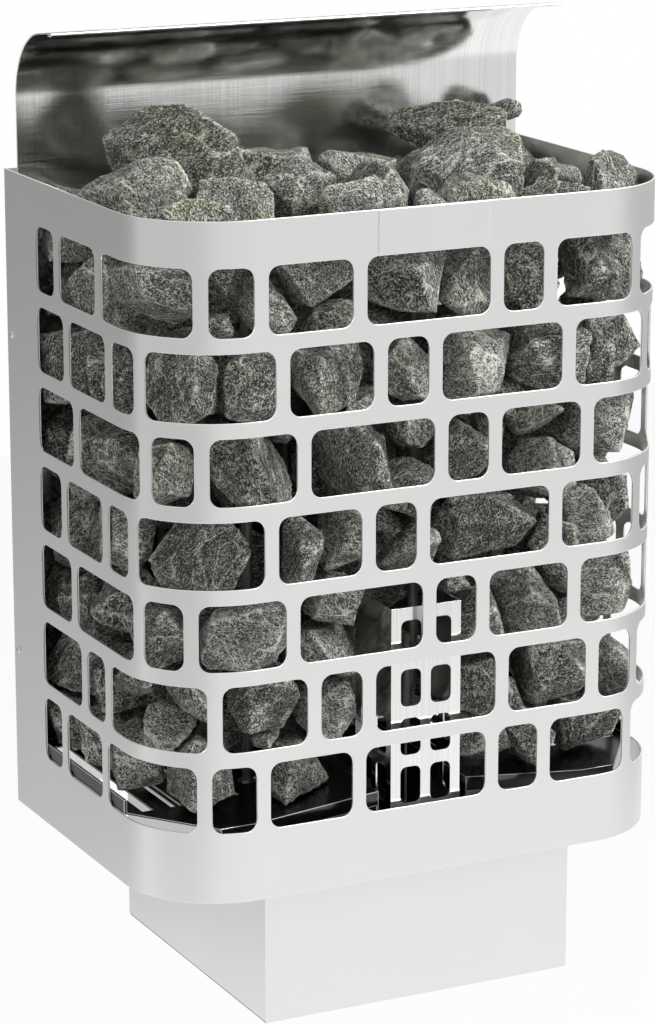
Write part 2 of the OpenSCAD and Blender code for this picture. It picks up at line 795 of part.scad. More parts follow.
// Each wire leaves a pole of the block, rises, crosses the box and ends at an element's pin.
wire_bend = 5;
wire_level = -38;
function wire_points(pole, x, y) =
    let (start = [-block_w / 2 + (pole + 0.5) * pole_w, box_back - box_t - block_d / 2,
            block_z + block_h - 7],
        over = [start.x, start.y, wire_level],
        turn = [x, -y, wire_level],
        d = wire_bend * (turn - over) / norm(turn - over),
        up = [0, 0, wire_bend])
    concat([start], bend_points(over - up, over, over + d, 4), bend_points(turn - d, turn, turn + up, 4),
        [[x, -y, pin_end]]);

module wires(first_pole, pole_step, x) {
    for (k = [0 : 2]) {
        route = wire_points(first_pole + k * pole_step, x, element_depths[k]);
        run = route[6] - route[5];
        swept(route, wire_r, [run.y, -run.x, 0] / norm([run.x, run.y]));
    }
}

module phase_wires() {
    color("#3a3a3c") placed() wires(0, 1, leg_xs[0]);
}

module neutral_wires() {
    color("#3f5f8a") placed() wires(5, -1, leg_xs[1]);
}

// ---- stones ----

// Each stone is [x, depth behind the jacket's front, height, radius, upright stretch].
// The stones behind the front windows, by course from the bottom.
front_low = [
    [-184, 98, 80, 30, 1], [-148, 56, 76, 40, 1.1], [-88, 50, 84, 26, 0.9], [62, 50, 78, 26, 1],
    [97, 50, 74, 26, 1], [150, 62, 70, 36, 1.1],
    [-170, 72, 108, 30, 0.9], [-112, 46, 132, 34, 1], [-108, 48, 102, 24, 1], [-56, 45, 118, 32, 1],
    [58, 45, 120, 27, 1], [122, 48, 120, 34, 1], [94, 46, 108, 20, 1], [175, 76, 112, 38, 1.1],
    [-184, 92, 146, 26, 1], [-160, 62, 140, 26, 1],
    [-170, 74, 178, 30, 1], [-124, 48, 175, 38, 1], [-56, 45, 196, 28, 0.9], [-58, 45, 160, 30, 0.9],
    [63, 46, 170, 28, 1], [96, 46, 176, 30, 1], [128, 50, 190, 22, 1], [132, 46, 158, 22, 1],
    [172, 70, 176, 38, 1.1]];

front_high = [
    [-180, 104, 240, 26, 1], [-138, 56, 238, 50, 1], [-84, 45, 236, 26, 1], [-49, 46, 238, 30, 1],
    [-13, 48, 254, 25, 1], [8, 46, 226, 22, 1], [60, 48, 236, 38, 1], [96, 50, 240, 24, 1],
    [119, 46, 222, 24, 1], [148, 55, 232, 32, 1], [178, 80, 232, 37, 1.1], [42, 48, 202, 20, 1],
    [-162, 66, 292, 28, 1], [-120, 48, 290, 40, 1], [-95, 56, 318, 20, 1], [-41, 46, 302, 36, 1],
    [7, 50, 314, 26, 1], [-2, 42, 275, 30, 1], [41, 44, 289, 30, 1], [71, 54, 296, 22, 1],
    [106, 50, 312, 26, 1], [108, 42, 276, 30, 1], [143, 50, 297, 26, 1], [176, 76, 300, 39, 1.1],
    [160, 58, 266, 22, 1],
    [-184, 100, 350, 26, 1], [-160, 66, 362, 36, 1], [-119, 46, 355, 30, 1], [-60, 46, 361, 36, 1],
    [-37, 42, 333, 24, 1], [3, 44, 355, 30, 1], [49, 46, 355, 34, 1], [74, 42, 334, 20, 1],
    [109, 46, 356, 36, 1], [149, 50, 348, 28, 1], [177, 76, 352, 38, 1.1],
    [-168, 72, 424, 38, 1], [-136, 48, 432, 24, 1], [-140, 50, 394, 24, 1], [-106, 46, 412, 24, 1],
    [-70, 46, 434, 34, 0.8], [-58, 42, 396, 28, 1], [0, 44, 424, 38, 1], [-14, 54, 388, 24, 1],
    [48, 44, 410, 32, 1], [95, 42, 411, 27, 1], [146, 50, 416, 38, 1], [180, 80, 414, 40, 1.1]];

// The stones along the left side wall.
left_side = [
    [-172, 222, 76, 28, 1], [-172, 150, 78, 32, 1], [-170, 215, 118, 30, 1], [-172, 140, 130, 28, 1],
    [-168, 186, 162, 38, 1], [-176, 232, 166, 24, 1], [-172, 132, 190, 28, 1],
    [-168, 218, 220, 38, 1], [-170, 155, 238, 30, 1], [-168, 178, 282, 38, 1],
    [-176, 232, 272, 24, 1], [-174, 120, 300, 28, 1], [-168, 212, 343, 38, 1],
    [-172, 152, 345, 32, 1], [-168, 214, 405, 38, 1], [-172, 146, 412, 34, 1]];

wave = 733;
function jitter(span, k) = span * sin(wave * k);

right_side = concat([for (j = [0 : 1]) for (k = [0 : 4])
    [170, 135 + 72 * j + jitter(8, 3 * k + j), 96 + 80 * k + 34 * j + jitter(8, k + 5 * j), 42, 1.1]],
    [for (k = [0 : 4]) [186 + jitter(4, k), 106, 144 + 60 * k, 28, 1.1]]);

core = [for (k = [0 : 4]) for (j = [0 : 1]) for (i = [-1 : 1])
    [88 * i + jitter(10, 7 * k + 3 * j + i + 2), 128 + 73 * j,
        106 + 80 * k + jitter(10, 5 * k + i + 11 * j), 46, 0.95]];

// The heap over the rim: [x, depth, height from the rim, half sizes, turn, pitch, roll, ridge], where
// ridge is the share of its foot's width that a stone keeps at its top.
heap = [
    [-115, 155, 14, [54, 44, 32], -48, 10, 4, 0.25], [-168, 112, -2, [54, 44, 28], -40, 0, 15, 0.1],
    [-148, 56, -12, [48, 30, 16], -15, 6, -15, 0.4], [-118, 84, -10, [42, 34, 24], -25, 20, 14, 0.25],
    [-54, 160, -6, [46, 30, 22], -15, -6, 6, 0.6], [-56, 104, -14, [42, 34, 28], 30, -18, 16, 0.45],
    [-24, 62, -16, [46, 32, 22], -12, 6, 14, 0.45], [28, 176, -10, [54, 34, 20], -12, 4, 8, 0.5],
    [16, 40, -14, [20, 16, 16], 10, 12, 0, 0.5], [116, 192, 14, [58, 32, 20], -40, 0, 20, 0.3],
    [86, 120, -6, [62, 42, 30], -18, -12, 12, 0.35], [172, 222, 10, [24, 22, 20], 30, 10, 8, 0.5],
    [62, 50, -12, [42, 28, 16], -20, 10, 10, 0.4], [150, 112, -18, [44, 32, 20], 40, 8, -10, 0.5],
    [116, 54, -20, [38, 26, 16], -10, -6, 8, 0.5], [166, 168, -30, [42, 34, 24], 50, 6, 8, 0.5],
    [178, 68, -6, [34, 30, 26], 40, -4, 4, 0.15], [-44, 216, -12, [44, 34, 22], 10, 6, 8, 0.5],
    [-172, 214, -40, [38, 34, 26], 70, 0, 10, 0.5], [14, 108, -14, [42, 34, 24], 70, -8, 12, 0.4]];

// The stones' places are written for a jacket of this size and spread with the jacket's own.
written_for = [410, 272, 478];
spread = [jacket_w / written_for.x, jacket_d / written_for.y, jacket_h / written_for.z];
heap_share = 1.2;
swell = pow(spread.x * spread.y * spread.z, 1 / 3);
function in_frame(s) = [s[0] * spread.x, front_y + s[1] * spread.y, s[2] * spread.z, s[3] * swell, s[4]];
function over_rim(s) = let (b = s[3] * swell)
    [s[0] * spread.x, front_y + s[1] * spread.y, jacket_h + s[2] * spread.z,
        heap_share * pow(b.x * b.y * b.z, 1 / 3), 1, [b, [s[6], s[5], s[4]], s[7]]];

seen_low = [for (s = front_low) in_frame(s)];
seen_high = [for (s = front_high) in_frame(s)];
left_wall = [for (s = left_side) in_frame(s)];
right_wall = [for (s = right_side) in_frame(s)];
middle = [for (s = core) in_frame(s)];
top = [for (s = heap) over_rim(s)];
all_stones = concat(seen_low, seen_high, left_wall, right_wall, middle, top);

function centre(s) = [s[0], s[1], s[2]];

// A plane is [outward normal, distance from the stone's centre].
function between(s, o) =
    let (v = centre(o) - centre(s), d = norm(v))
    [v / d, (d * d + s[3] * s[3] - o[3] * o[3]) / (2 * d) - stone_gap / 2];

function near(s) = [for (o = all_stones)
    let (d = norm(centre(o) - centre(s))) if (d > 1 && d < 1.5 * (s[3] + o[3])) between(s, o)];

// A plane through a point with an outward normal, seen from the stone.
function wall_plane(s, n, p) = [n, n * (p - centre(s))];

wall_free = 0.4;
edge_free = tray_t + 0.2 + wall_free;
corner_slack = 2.2;
wall_zone = 135;
wall_edge = 131;

function corner_planes(s) =
    let (side = s[0] < 0 ? -1 : 1, cx = side * (jacket_w / 2 - jacket_r), cy = front_y + jacket_r,
        r = jacket_r - jacket_t - corner_slack)
    [for (k = [0 : 3]) let (a = 11.25 + 22.5 * k, n = [side * cos(a), -sin(a), 0])
        wall_plane(s, n, [cx + r * n.x, cy + r * n.y, 0])];

// A stone that reaches down to the tray's turned edge keeps inside it.
function side_planes(s) = let (low = s[2] - stone_reach * s[3] < tray_low + tray_edge,
    wall_x = half_in - (low ? edge_free : wall_free)) [
    wall_plane(s, [-1, 0, 0], [-wall_x, 0, 0]),
    wall_plane(s, [1, 0, 0], [wall_x, 0, 0]),
    wall_plane(s, [0, -1, 0], [0, front_y + jacket_t + wall_free, 0]),
    wall_plane(s, [0, 1, 0], [0, -reflector_y - wall_free, 0])];

// The tray slopes down from the middle to the fold and then runs level.
function floor_planes(s) =
    let (side = s[0] < 0 ? -1 : 1, run = tray_fold - tray_in, drop = tray_high - tray_low,
        l = norm([run, drop]), sloped = [-side * drop / l, 0, -run / l])
    abs(s[0]) < tray_in ? [wall_plane(s, [0, 0, -1], [0, 0, tray_high + wall_free])]
    : [wall_plane(s, sloped, [side * tray_in, 0, tray_high + wall_free]),
        wall_plane(s, [0, 0, -1], [0, 0, tray_low + wall_free])];

// Below the elements' crowns a stone stays in its slot between two elements, or beside them all.
heap_free = element_top + 3;
function slot_planes(s) =
    s[2] > jacket_h - 22 ? [wall_plane(s, [0, 0, -1], [0, 0, heap_free])]
    : abs(s[0]) > wall_zone ? [wall_plane(s, [s[0] < 0 ? 1 : -1, 0, 0],
        [(s[0] < 0 ? -1 : 1) * wall_edge, 0, 0])]
    : concat(
        [for (d = element_depths) if (s[1] > -d) wall_plane(s, [0, -1, 0], [0, -d + element_free, 0])],
        [for (d = element_depths) if (s[1] < -d) wall_plane(s, [0, 1, 0], [0, -d - element_free, 0])]);

// Stones in front stay beside the air channel or over it, and leave its left side and its top open.
channel_free = 1.5;
channel_side_gap = 10;
channel_top_gap = 12;
channel_clear = channel_top + 105;
function channel_planes(s) =
    let (side = s[0] < 0 ? -1 : 1, beside = side < 0 ? channel_side_gap : channel_free)
    s[1] > channel_back || s[2] > channel_clear ? []
    : abs(s[0]) > channel_w / 2 && s[2] < channel_top + 16
        ? [wall_plane(s, [-side, 0, 0], [side * (channel_w / 2 + beside), 0, 0])]
    : [wall_plane(s, [0, 0, -1], [0, 0, channel_top + channel_top_gap])];

function stone_planes(s) =
    concat(near(s), side_planes(s), corner_planes(s), floor_planes(s), slot_planes(s), channel_planes(s));

// How far a stone reaches along a direction before a plane or its own size stops it.
function reach(s, planes, d, most) =
    min([most, for (p = planes) if (p[0] * d > 0.02) max(p[1], 1) / (p[0] * d)]);

// A stone is a split block: [half sizes, turns about X, Y and Z, ridge], where ridge is the share of
// its foot's width that it keeps at its top. A stone with none of its own gets one by its place.
block_out = 1.12;
block_change = 0.2;
function seed(s) = 7 * s[0] + 13 * s[2] + 5 * s[1];
function block(s) = let (k = seed(s)) s[5] != undef ? s[5]
    : [s[3] * block_out * [1 + jitter(block_change, k), 1 + jitter(block_change, k + 3), s[4]],
        [61 * k, 43 * k, 29 * k], 0.65 + jitter(0.35, k + 7)];

function spun(v, a) =
    let (p = [v.x, v.y * cos(a.x) - v.z * sin(a.x), v.y * sin(a.x) + v.z * cos(a.x)],
        q = [p.x * cos(a.y) + p.z * sin(a.y), p.y, p.z * cos(a.y) - p.x * sin(a.y)])
    [q.x * cos(a.z) - q.y * sin(a.z), q.x * sin(a.z) + q.y * cos(a.z), q.z];

// It has eight uneven corners, a tip at each end and one on top.
corner_change = 0.25;
tip_out = 1.3;
tip_change = 0.45;
function block_corners(s) = let (b = block(s), half = b[0], k = seed(s)) [for (v = concat(
    [for (x = [-1, 1]) for (y = [-1, 1]) for (z = [-1, 1])
        let (n = k + x + 3 * y + 9 * z, kept = z > 0 ? b[2] : 1)
        [x * half.x * (1 + kept) / 2 * (1 + jitter(corner_change, n)),
            y * half.y * kept * (1 + jitter(corner_change, 2 * n)),
            z * half.z * (1 + jitter(corner_change, 3 * n))]],
    [for (x = [-1, 1])
        [x * half.x * tip_out, half.y * jitter(tip_change, k + x), half.z * jitter(tip_change, 2 * k + x)]],
    [[half.x * jitter(tip_change, k + 5), half.y * jitter(tip_change, k + 8), half.z * tip_out]]))
    spun(v, b[1])];

// Stones whose spheres overlap by more than this share lean on one another, and on a near wall.
lean_share = 1;
wall_share = 0.8;
function lean_planes(s) = concat([for (o = all_stones)
    let (d = norm(centre(o) - centre(s))) if (d > 1 && d < lean_share * (s[3] + o[3])) between(s, o)],
    [for (p = concat(side_planes(s), corner_planes(s))) if (p[1] < wall_share * s[3]) p]);

module stone(s) {
    planes = stone_planes(s);
    leaning = [for (p = lean_planes(s)) centre(s) + p[0] * reach(s, planes, p[0], stone_reach * s[3])];
    own = [for (c = block_corners(s)) let (d = c / norm(c)) centre(s) + d * reach(s, planes, d, norm(c))];
    points = concat(leaning, own);
    hull() polyhedron(points, [[for (k = [0 : len(points) - 1]) k]]);
}

module stones_front_low() {
    color(rock) placed() for (s = seen_low) stone(s);
}

module stones_front_high() {
    color(rock) placed() for (s = seen_high) stone(s);
}

module stones_left() {
    color(rock) placed() for (s = left_wall) stone(s);
}

module stones_right() {
    color(rock) placed() for (s = right_wall) stone(s);
}

module stones_core() {
    color(rock) placed() for (s = middle) stone(s);
}

module stones_top() {
    color(rock) placed() for (s = top) stone(s);
}

jacket();
name_plate();
side_screws();
rear_panel();
back_reflector();
wall_hangers();
wall_spacers();
wall_bracket();
terminal_box();
box_cover();
cover_screws();
element_plate();
plate_screws();
heating_element_front();
heating_element_middle();
heating_element_rear();
element_ferrules();
element_nuts();
element_beads();
air_channel();
channel_rivets();
tray_left();
tray_right();
sensor_bulb();
sensor_clip();
capillary_tube();
limiter_body();
limiter_nut();
reset_button();
terminal_block();
block_screws();
earth_stud();
earth_nuts();
cable_gland();
gland_nut();
phase_wires();
neutral_wires();
stones_front_low();
stones_front_high();
stones_left();
stones_right();
stones_core();
stones_top();
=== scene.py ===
# Wall-hung sauna heater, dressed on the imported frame. Lengths are in metres.
import json
import math
import bmesh
import bpy
import numpy as np
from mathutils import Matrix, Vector
from mathutils.geometry import delaunay_2d_cdt


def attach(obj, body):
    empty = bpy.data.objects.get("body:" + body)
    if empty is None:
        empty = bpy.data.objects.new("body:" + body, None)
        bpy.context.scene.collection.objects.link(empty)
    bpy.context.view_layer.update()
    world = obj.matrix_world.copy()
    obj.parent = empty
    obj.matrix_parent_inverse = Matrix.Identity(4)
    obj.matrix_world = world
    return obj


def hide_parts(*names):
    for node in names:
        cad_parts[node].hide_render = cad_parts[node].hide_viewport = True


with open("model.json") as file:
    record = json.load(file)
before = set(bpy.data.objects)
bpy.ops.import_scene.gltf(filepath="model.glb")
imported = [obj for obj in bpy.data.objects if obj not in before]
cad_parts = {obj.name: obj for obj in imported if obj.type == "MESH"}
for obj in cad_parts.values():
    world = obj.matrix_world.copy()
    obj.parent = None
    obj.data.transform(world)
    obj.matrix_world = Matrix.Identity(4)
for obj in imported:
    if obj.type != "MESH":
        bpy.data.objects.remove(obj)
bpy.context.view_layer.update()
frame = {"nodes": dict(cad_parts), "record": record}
nodes = frame["nodes"]
nodeSlot = {part["node"]: part["material_slot"] for part in frame["record"]["subparts"]}
print("frame loaded")


class Wire:  # a value in an expression: each operator adds its Math node
    def __init__(self, board, socket):
        self.board = board
        self.socket = socket

    def join(self, operation, first, second):
        return self.board.add("ShaderNodeMath", {"operation": operation}, {0: first, 1: second})

    def __add__(self, other):
        return self.join("ADD", self, other)

    def __radd__(self, other):
        return self.join("ADD", other, self)

    def __sub__(self, other):
        return self.join("SUBTRACT", self, other)

    def __rsub__(self, other):
        return self.join("SUBTRACT", other, self)

    def __mul__(self, other):
        return self.join("MULTIPLY", self, other)

    def __rmul__(self, other):
        return self.join("MULTIPLY", other, self)


class Board:  # the node tree of one material or of the world
    def __init__(self, tree):
        self.tree = tree
        tree.nodes.clear()

    def add(self, kind, settings, values, output=0):
        node = self.tree.nodes.new(kind)
        for name, value in settings.items():
            if name == "stops":
                self.fillRamp(node.color_ramp, value)
            else:
                setattr(node, name, value)
        for name, value in values.items():
            self.feed(node.inputs[name], value)
        return Wire(self, node.outputs[output]) if node.outputs else None

    def feed(self, socket, value):
        if isinstance(value, Wire):
            self.tree.links.new(value.socket, socket)
        else:
            socket.default_value = value

    def fillRamp(self, ramp, stops):
        while len(ramp.elements) < len(stops):
            ramp.elements.new(0.5)
        for element, (place, colour) in zip(ramp.elements, stops):
            element.position = place
            element.color = (*colour, 1.0)

    def place(self, stretch=(1, 1, 1)):  # object coordinates, stretched
        here = self.add("ShaderNodeTexCoord", {}, {}, "Object")
        return self.add("ShaderNodeMapping", {}, {"Vector": here, "Scale": stretch})

    def noise(self, vector, scale, detail=2.0, rough=0.5, warp=0.0, output="Fac"):
        return self.add("ShaderNodeTexNoise", {}, {"Vector": vector, "Scale": scale, "Detail": detail,
                                                    "Roughness": rough, "Distortion": warp}, output)

    def lines(self, stretch, detail, rough=0.5):  # a noise drawn out by its stretch alone
        return self.noise(self.place(stretch), 1.0, detail, rough)

    def cells(self, vector, scale, channel):  # flat cells, each with a value of its own
        colours = self.add("ShaderNodeTexVoronoi", {"feature": "F1"},
                           {"Vector": vector, "Scale": scale}, "Color")
        return self.add("ShaderNodeSeparateColor", {}, {"Color": colours}, channel)

    def vector(self, operation, values, output=0):
        return self.add("ShaderNodeVectorMath", {"operation": operation}, values, output)

    def height(self, vector):
        return self.add("ShaderNodeSeparateXYZ", {}, {"Vector": vector}, "Z")

    def spread(self, value, low, high, toLow=0.0, toHigh=1.0):  # a range spread onto another, clamped
        return self.add("ShaderNodeMapRange", {"interpolation_type": "SMOOTHSTEP"},
                        {"Value": value, "From Min": low, "From Max": high,
                         "To Min": toLow, "To Max": toHigh})

    def ramp(self, value, stops):
        return self.add("ShaderNodeValToRGB", {"stops": stops}, {"Fac": value})

    def blend(self, factor, first, second, way="MIX"):  # colours, by Mix
        opaque = [colour if isinstance(colour, Wire) else (*colour, 1.0) for colour in (first, second)]
        return self.add("ShaderNodeMix", {"data_type": "RGBA", "blend_type": way},
                        {0: factor, 6: opaque[0], 7: opaque[1]}, 2)

    def own(self, name):  # a value kept on the mesh
        return self.add("ShaderNodeAttribute", {"attribute_name": name}, {}, "Fac")

    def bump(self, height, distance, strength=1.0, below=None):
        values = {"Height": height, "Distance": distance, "Strength": strength}
        if below is not None:
            values["Normal"] = below
        return self.add("ShaderNodeBump", {}, values)

    def glow(self, strength):
        return self.add("ShaderNodeEmission", {}, {"Color": (1, 1, 1, 1), "Strength": strength})

    def sees(self, ray):
        return self.add("ShaderNodeLightPath", {}, {}, "Is " + ray + " Ray")

    def show(self, surface, kind="ShaderNodeOutputMaterial"):
        self.add(kind, {}, {"Surface": surface})


def newMaterial(name, colour, roughness, normal, metallic=0.0, fixed=None):
    material = bpy.data.materials.new(name)
    material.use_nodes = True
    board = Board(material.node_tree)
    values = {"Base Color": colour(board), "Roughness": roughness(board),
              "Metallic": metallic(board) if callable(metallic) else metallic}
    values.update(fixed or {})
    values["Normal"] = normal(board)
    board.show(board.add("ShaderNodeBsdfPrincipled", {}, values))
    return material


middle = 0.5  # what every noise swings about

steelLook = {  # grain is the stretch of the brushing, depth is how deep it is felt
    "jacket": {"tone": (0.835, 0.835, 0.83), "rough": 0.33, "grain": (14, 14, 2600),
               "cloud": 0.02, "streak": 0.05, "depth": 0.00002},
    "plain": {"tone": (0.60, 0.60, 0.595), "rough": 0.42, "grain": (1800, 14, 14),
              "cloud": 0.05, "streak": 0.06, "depth": 0.00003},
    # painted shade: near-black steel for the trays, which sit in shade below the stones
    "shaded": {"tone": (0.08, 0.08, 0.08), "rough": 0.22, "grain": (1800, 14, 14),
               "cloud": 0.08, "streak": 0.05, "depth": 0.00003},
}
brushing = {
    "patches": (11, 3), "smearStretch": (9, 9, 5), "smears": (1.0, 4, 0.6, 0.4), "smeared": (0.5, 0.75),
    "smearShare": 0.6, "felt": 0.6,
}
edgeHighlightLook = {"tone": (0.97, 0.97, 0.965), "share": 0.9, "dull": 0.6}  # sheared and rounded edges get a painted highlight: near white and partly non-metallic, so that they shine from every side
leftSideShadeTone = (0.03, 0.03, 0.03)  # a thin seam drawn as painted shade: near black on the box cover's left-facing faces


def steel(name, look):
    def colour(board):
        patches = board.noise(board.place(), *brushing["patches"])
        lines = board.lines(look["grain"], 2)
        lift = 1.0 + (patches - middle) * look["cloud"] * 2 + (lines - middle) * look["cloud"]
        sheet = board.blend(1.0, look["tone"], lift, "MULTIPLY")
        # painted highlight: faces marked as edges are blended towards near white
        edgeLit = board.blend(board.own("edge") * edgeHighlightLook["share"], sheet, edgeHighlightLook["tone"])
        # painted shade where a face is marked for it: the box cover's left side
        return board.blend(board.own("seam"), edgeLit, leftSideShadeTone)

    def roughness(board):
        lines = board.lines(look["grain"], 3)
        smears = board.noise(board.place(brushing["smearStretch"]), *brushing["smears"])
        smeared = board.spread(smears, *brushing["smeared"])
        return (look["rough"] + (lines - middle) * look["streak"] * 2
                + smeared * look["streak"] * brushing["smearShare"])

    def normal(board):
        return board.bump(board.lines(look["grain"], 3, 0.6), look["depth"], brushing["felt"])

    def metallic(board):
        # edge faces are made partly non-metallic so that their painted highlight shows under any light
        return 1.0 - board.own("edge") * edgeHighlightLook["dull"]

    return newMaterial(name, colour, roughness, normal, metallic)


mirrorLook = {  # a set of lines is its stretch, detail and roughness
    "tone": (0.93, 0.93, 0.92), "level": 0.93, "rough": 0.08, "roughMiddle": 0.45,
    "grain": ((650, 5, 5), 4, 0.6), "bands": ((90, 3, 3), 3), "grainTone": 0.34, "bandTone": 0.14,
    "dullGrain": ((420, 6, 6), 4, 0.65), "dullBands": ((60, 3, 4), 3), "grainRough": 0.08,
    "bandRough": 0.04, "scratches": ((10, 10, 4500), 2), "scratchDepth": 0.000026,
    "brushed": ((300, 5, 5), 4, 0.7), "brushedDepth": 0.00005, "brushedFelt": 0.5,
    "waves": ((6, 6, 9), 1), "waveDepth": 0.0016, "waveFelt": 0.2,
}


def mirrorSteel():
    look = mirrorLook

    def colour(board):
        grain, bands = board.lines(*look["grain"]), board.lines(*look["bands"])
        lift = look["level"] + (grain - middle) * look["grainTone"] + (bands - middle) * look["bandTone"]
        return board.blend(1.0, look["tone"], lift, "MULTIPLY")

    def roughness(board):
        grain, bands = board.lines(*look["dullGrain"]), board.lines(*look["dullBands"])
        return (look["rough"] + (grain - look["roughMiddle"]) * look["grainRough"]
                + (bands - middle) * look["bandRough"])

    def normal(board):  # fine level scratches draw what it mirrors out upright
        brushed = board.bump(board.lines(*look["brushed"]), look["brushedDepth"], look["brushedFelt"])
        fine = board.bump(board.lines(*look["scratches"]), look["scratchDepth"], 1.0, brushed)
        return board.bump(board.lines(*look["waves"]), look["waveDepth"], look["waveFelt"], fine)

    return newMaterial("mirrorSteel", colour, roughness, normal, 1.0)


sheathLook = {  # tubes that have been red hot: dull, with straw and blue tints
    "stretch": (1, 1, 0.6), "tint": (28, 4, 0.6), "rough": 0.42, "specks": (240, 3), "speckRough": 0.22,
    "skin": (900, 3), "depth": 0.0001, "felt": 0.5,
    "tints": [(0.30, (0.13, 0.13, 0.13)), (0.46, (0.20, 0.185, 0.165)),
              (0.58, (0.17, 0.165, 0.17)), (0.72, (0.11, 0.115, 0.13))],
}


def sheathSteel():
    look = sheathLook

    def colour(board):
        return board.ramp(board.noise(board.place(look["stretch"]), *look["tint"]), look["tints"])

    def roughness(board):
        return look["rough"] + board.noise(board.place(), *look["specks"]) * look["speckRough"]

    def normal(board):
        return board.bump(board.noise(board.place(), *look["skin"]), look["depth"], look["felt"])

    return newMaterial("sheathSteel", colour, roughness, normal, 1.0)


stoneLook = {  # a noise is its scale, detail, roughness and warp
    "bedding": (1.0, 1.0, 1.8), "beddingAxis": (0.46, 0.62, 0.64), "beddingTurn": 6.28,
    "mossTint": (1.12, 1.13, 0.80), "mossShare": 0.6, "drift": (700.0, 2.0), "driftReach": 0.0011,
    "bigGrains": 651.0, "smallGrains": 1417.5, "fibres": (560.0, 4, 0.72, 0.7), "fine": (1900.0, 2, 0.6),
    "patch": (34.0, 4, 0.62, 0.6), "broken": (260, 3, 0.6), "streaks": (75, 4, 0.6, 0.8),
    "mottle": (170, 3, 0.65, 0.5), "some": (15, 2), "moss": (22, 3, 0.6),
    "wideVeins": (15, 2, 0.5, 1.2), "wideWidth": 0.014, "narrowVeins": (40, 2, 0.5, 0.9),
    "narrowWidth": 0.020, "rough": 0.74, "roughGrain": (1900.0, 2), "roughChange": 0.34,
    "pits": (1500, 3, 0.65), "pitDepth": 0.0006, "pitFelt": 0.55,
    "lumps": (330, 4, 0.6, 0.4), "lumpDepth": 0.0018, "lumpFelt": 0.6, "shine": 0.35,
}
stoneLimits = {  # where each noise starts to show and where it shows in full
    "fibres": (0.30, 0.70), "broken": (0.34, 0.60), "streaks": (0.50, 0.72), "some": (0.44, 0.60),
    "moss": (0.46, 0.68),
}
stoneWeights = {
    "big": 0.30, "small": 0.62, "fibres": 0.34, "fine": 0.26, "grainDrop": 0.29, "patch": 0.36,
    "wornAndLit": 0.48, "wornAlways": 0.35, "streaks": 0.14, "wide": 0.30, "narrow": 0.24, "mottle": 0.24,
    "tone": 0.14, "drop": 0.01,
}
stoneTones = [
    (0.22, (0.014, 0.0145, 0.013)), (0.40, (0.050, 0.0515, 0.046)), (0.53, (0.130, 0.132, 0.119)),
    (0.69, (0.38, 0.385, 0.345)), (0.88, (0.72, 0.72, 0.66)),
]


def stoneMaterial():
    look, weight = stoneLook, stoneWeights

    def limited(board, vector, name):
        return board.spread(board.noise(vector, *look[name]), *stoneLimits[name])

    def bedded(board):  # each stone's layers lie their own way
        turned = board.add("ShaderNodeVectorRotate", {"rotation_type": "AXIS_ANGLE"}, {
            "Vector": board.place(), "Axis": look["beddingAxis"],
            "Angle": board.own("tone") * look["beddingTurn"]})
        return board.vector("MULTIPLY", {0: turned, 1: look["bedding"]})

    def grains(board, here, layers):
        drift = board.noise(here, *look["drift"], output="Color")
        push = board.vector("SCALE", {0: drift, "Scale": look["driftReach"]})
        warped = board.vector("ADD", {0: layers, 1: push})
        big = board.cells(warped, look["bigGrains"], "Red")
        small = board.cells(warped, look["smallGrains"], "Green")
        fine = board.noise(here, *look["fine"])
        return (big * weight["big"] + small * weight["small"]
                + limited(board, layers, "fibres") * weight["fibres"] + fine * weight["fine"]
                - weight["grainDrop"])

    def thread(board, layers, noise, width):  # thin pale lines where a noise crosses its middle
        field = board.noise(layers, *noise)
        away = board.add("ShaderNodeMath", {"operation": "ABSOLUTE"}, {0: field - middle})
        return board.spread(away, 0.0, width, 1.0, 0.0)

    def colour(board):
        here, layers = board.place(), bedded(board)
        patch, mottle = board.noise(layers, *look["patch"]), board.noise(layers, *look["mottle"])
        broken, streaks = limited(board, here, "broken"), limited(board, layers, "streaks")
        # paler stone edges: partly real scuffing, partly a painted highlight along the ridges
        wornAndLit = board.own("wear") * (weight["wornAlways"] + broken * (1 - weight["wornAlways"]))
        wide = thread(board, layers, look["wideVeins"], look["wideWidth"])
        narrow = thread(board, layers, look["narrowVeins"], look["narrowWidth"])
        veins = wide * weight["wide"] + narrow * limited(board, here, "some") * weight["narrow"]
        value = (grains(board, here, layers) + (patch - middle) * weight["patch"] + wornAndLit * weight["wornAndLit"]
                 + streaks * weight["streaks"] + veins + (mottle - middle) * weight["mottle"]
                 + (board.own("tone") - middle) * weight["tone"] - weight["drop"])
        base = board.ramp(value, stoneTones)
        mossy = board.own("moss") * limited(board, here, "moss")
        green = board.blend(1.0, base, look["mossTint"], "MULTIPLY")
        return board.blend(mossy * look["mossShare"], base, green)

    def roughness(board):
        grain = board.noise(board.place(), *look["roughGrain"])
        return look["rough"] + (grain - middle) * look["roughChange"]

    def normal(board):
        here = board.place()
        pits = board.bump(board.noise(here, *look["pits"]), look["pitDepth"], look["pitFelt"])
        return board.bump(board.noise(here, *look["lumps"]), look["lumpDepth"], look["lumpFelt"], pits)

    return newMaterial("splitStone", colour, roughness, normal, 0.0, {"Specular IOR Level": look["shine"]})


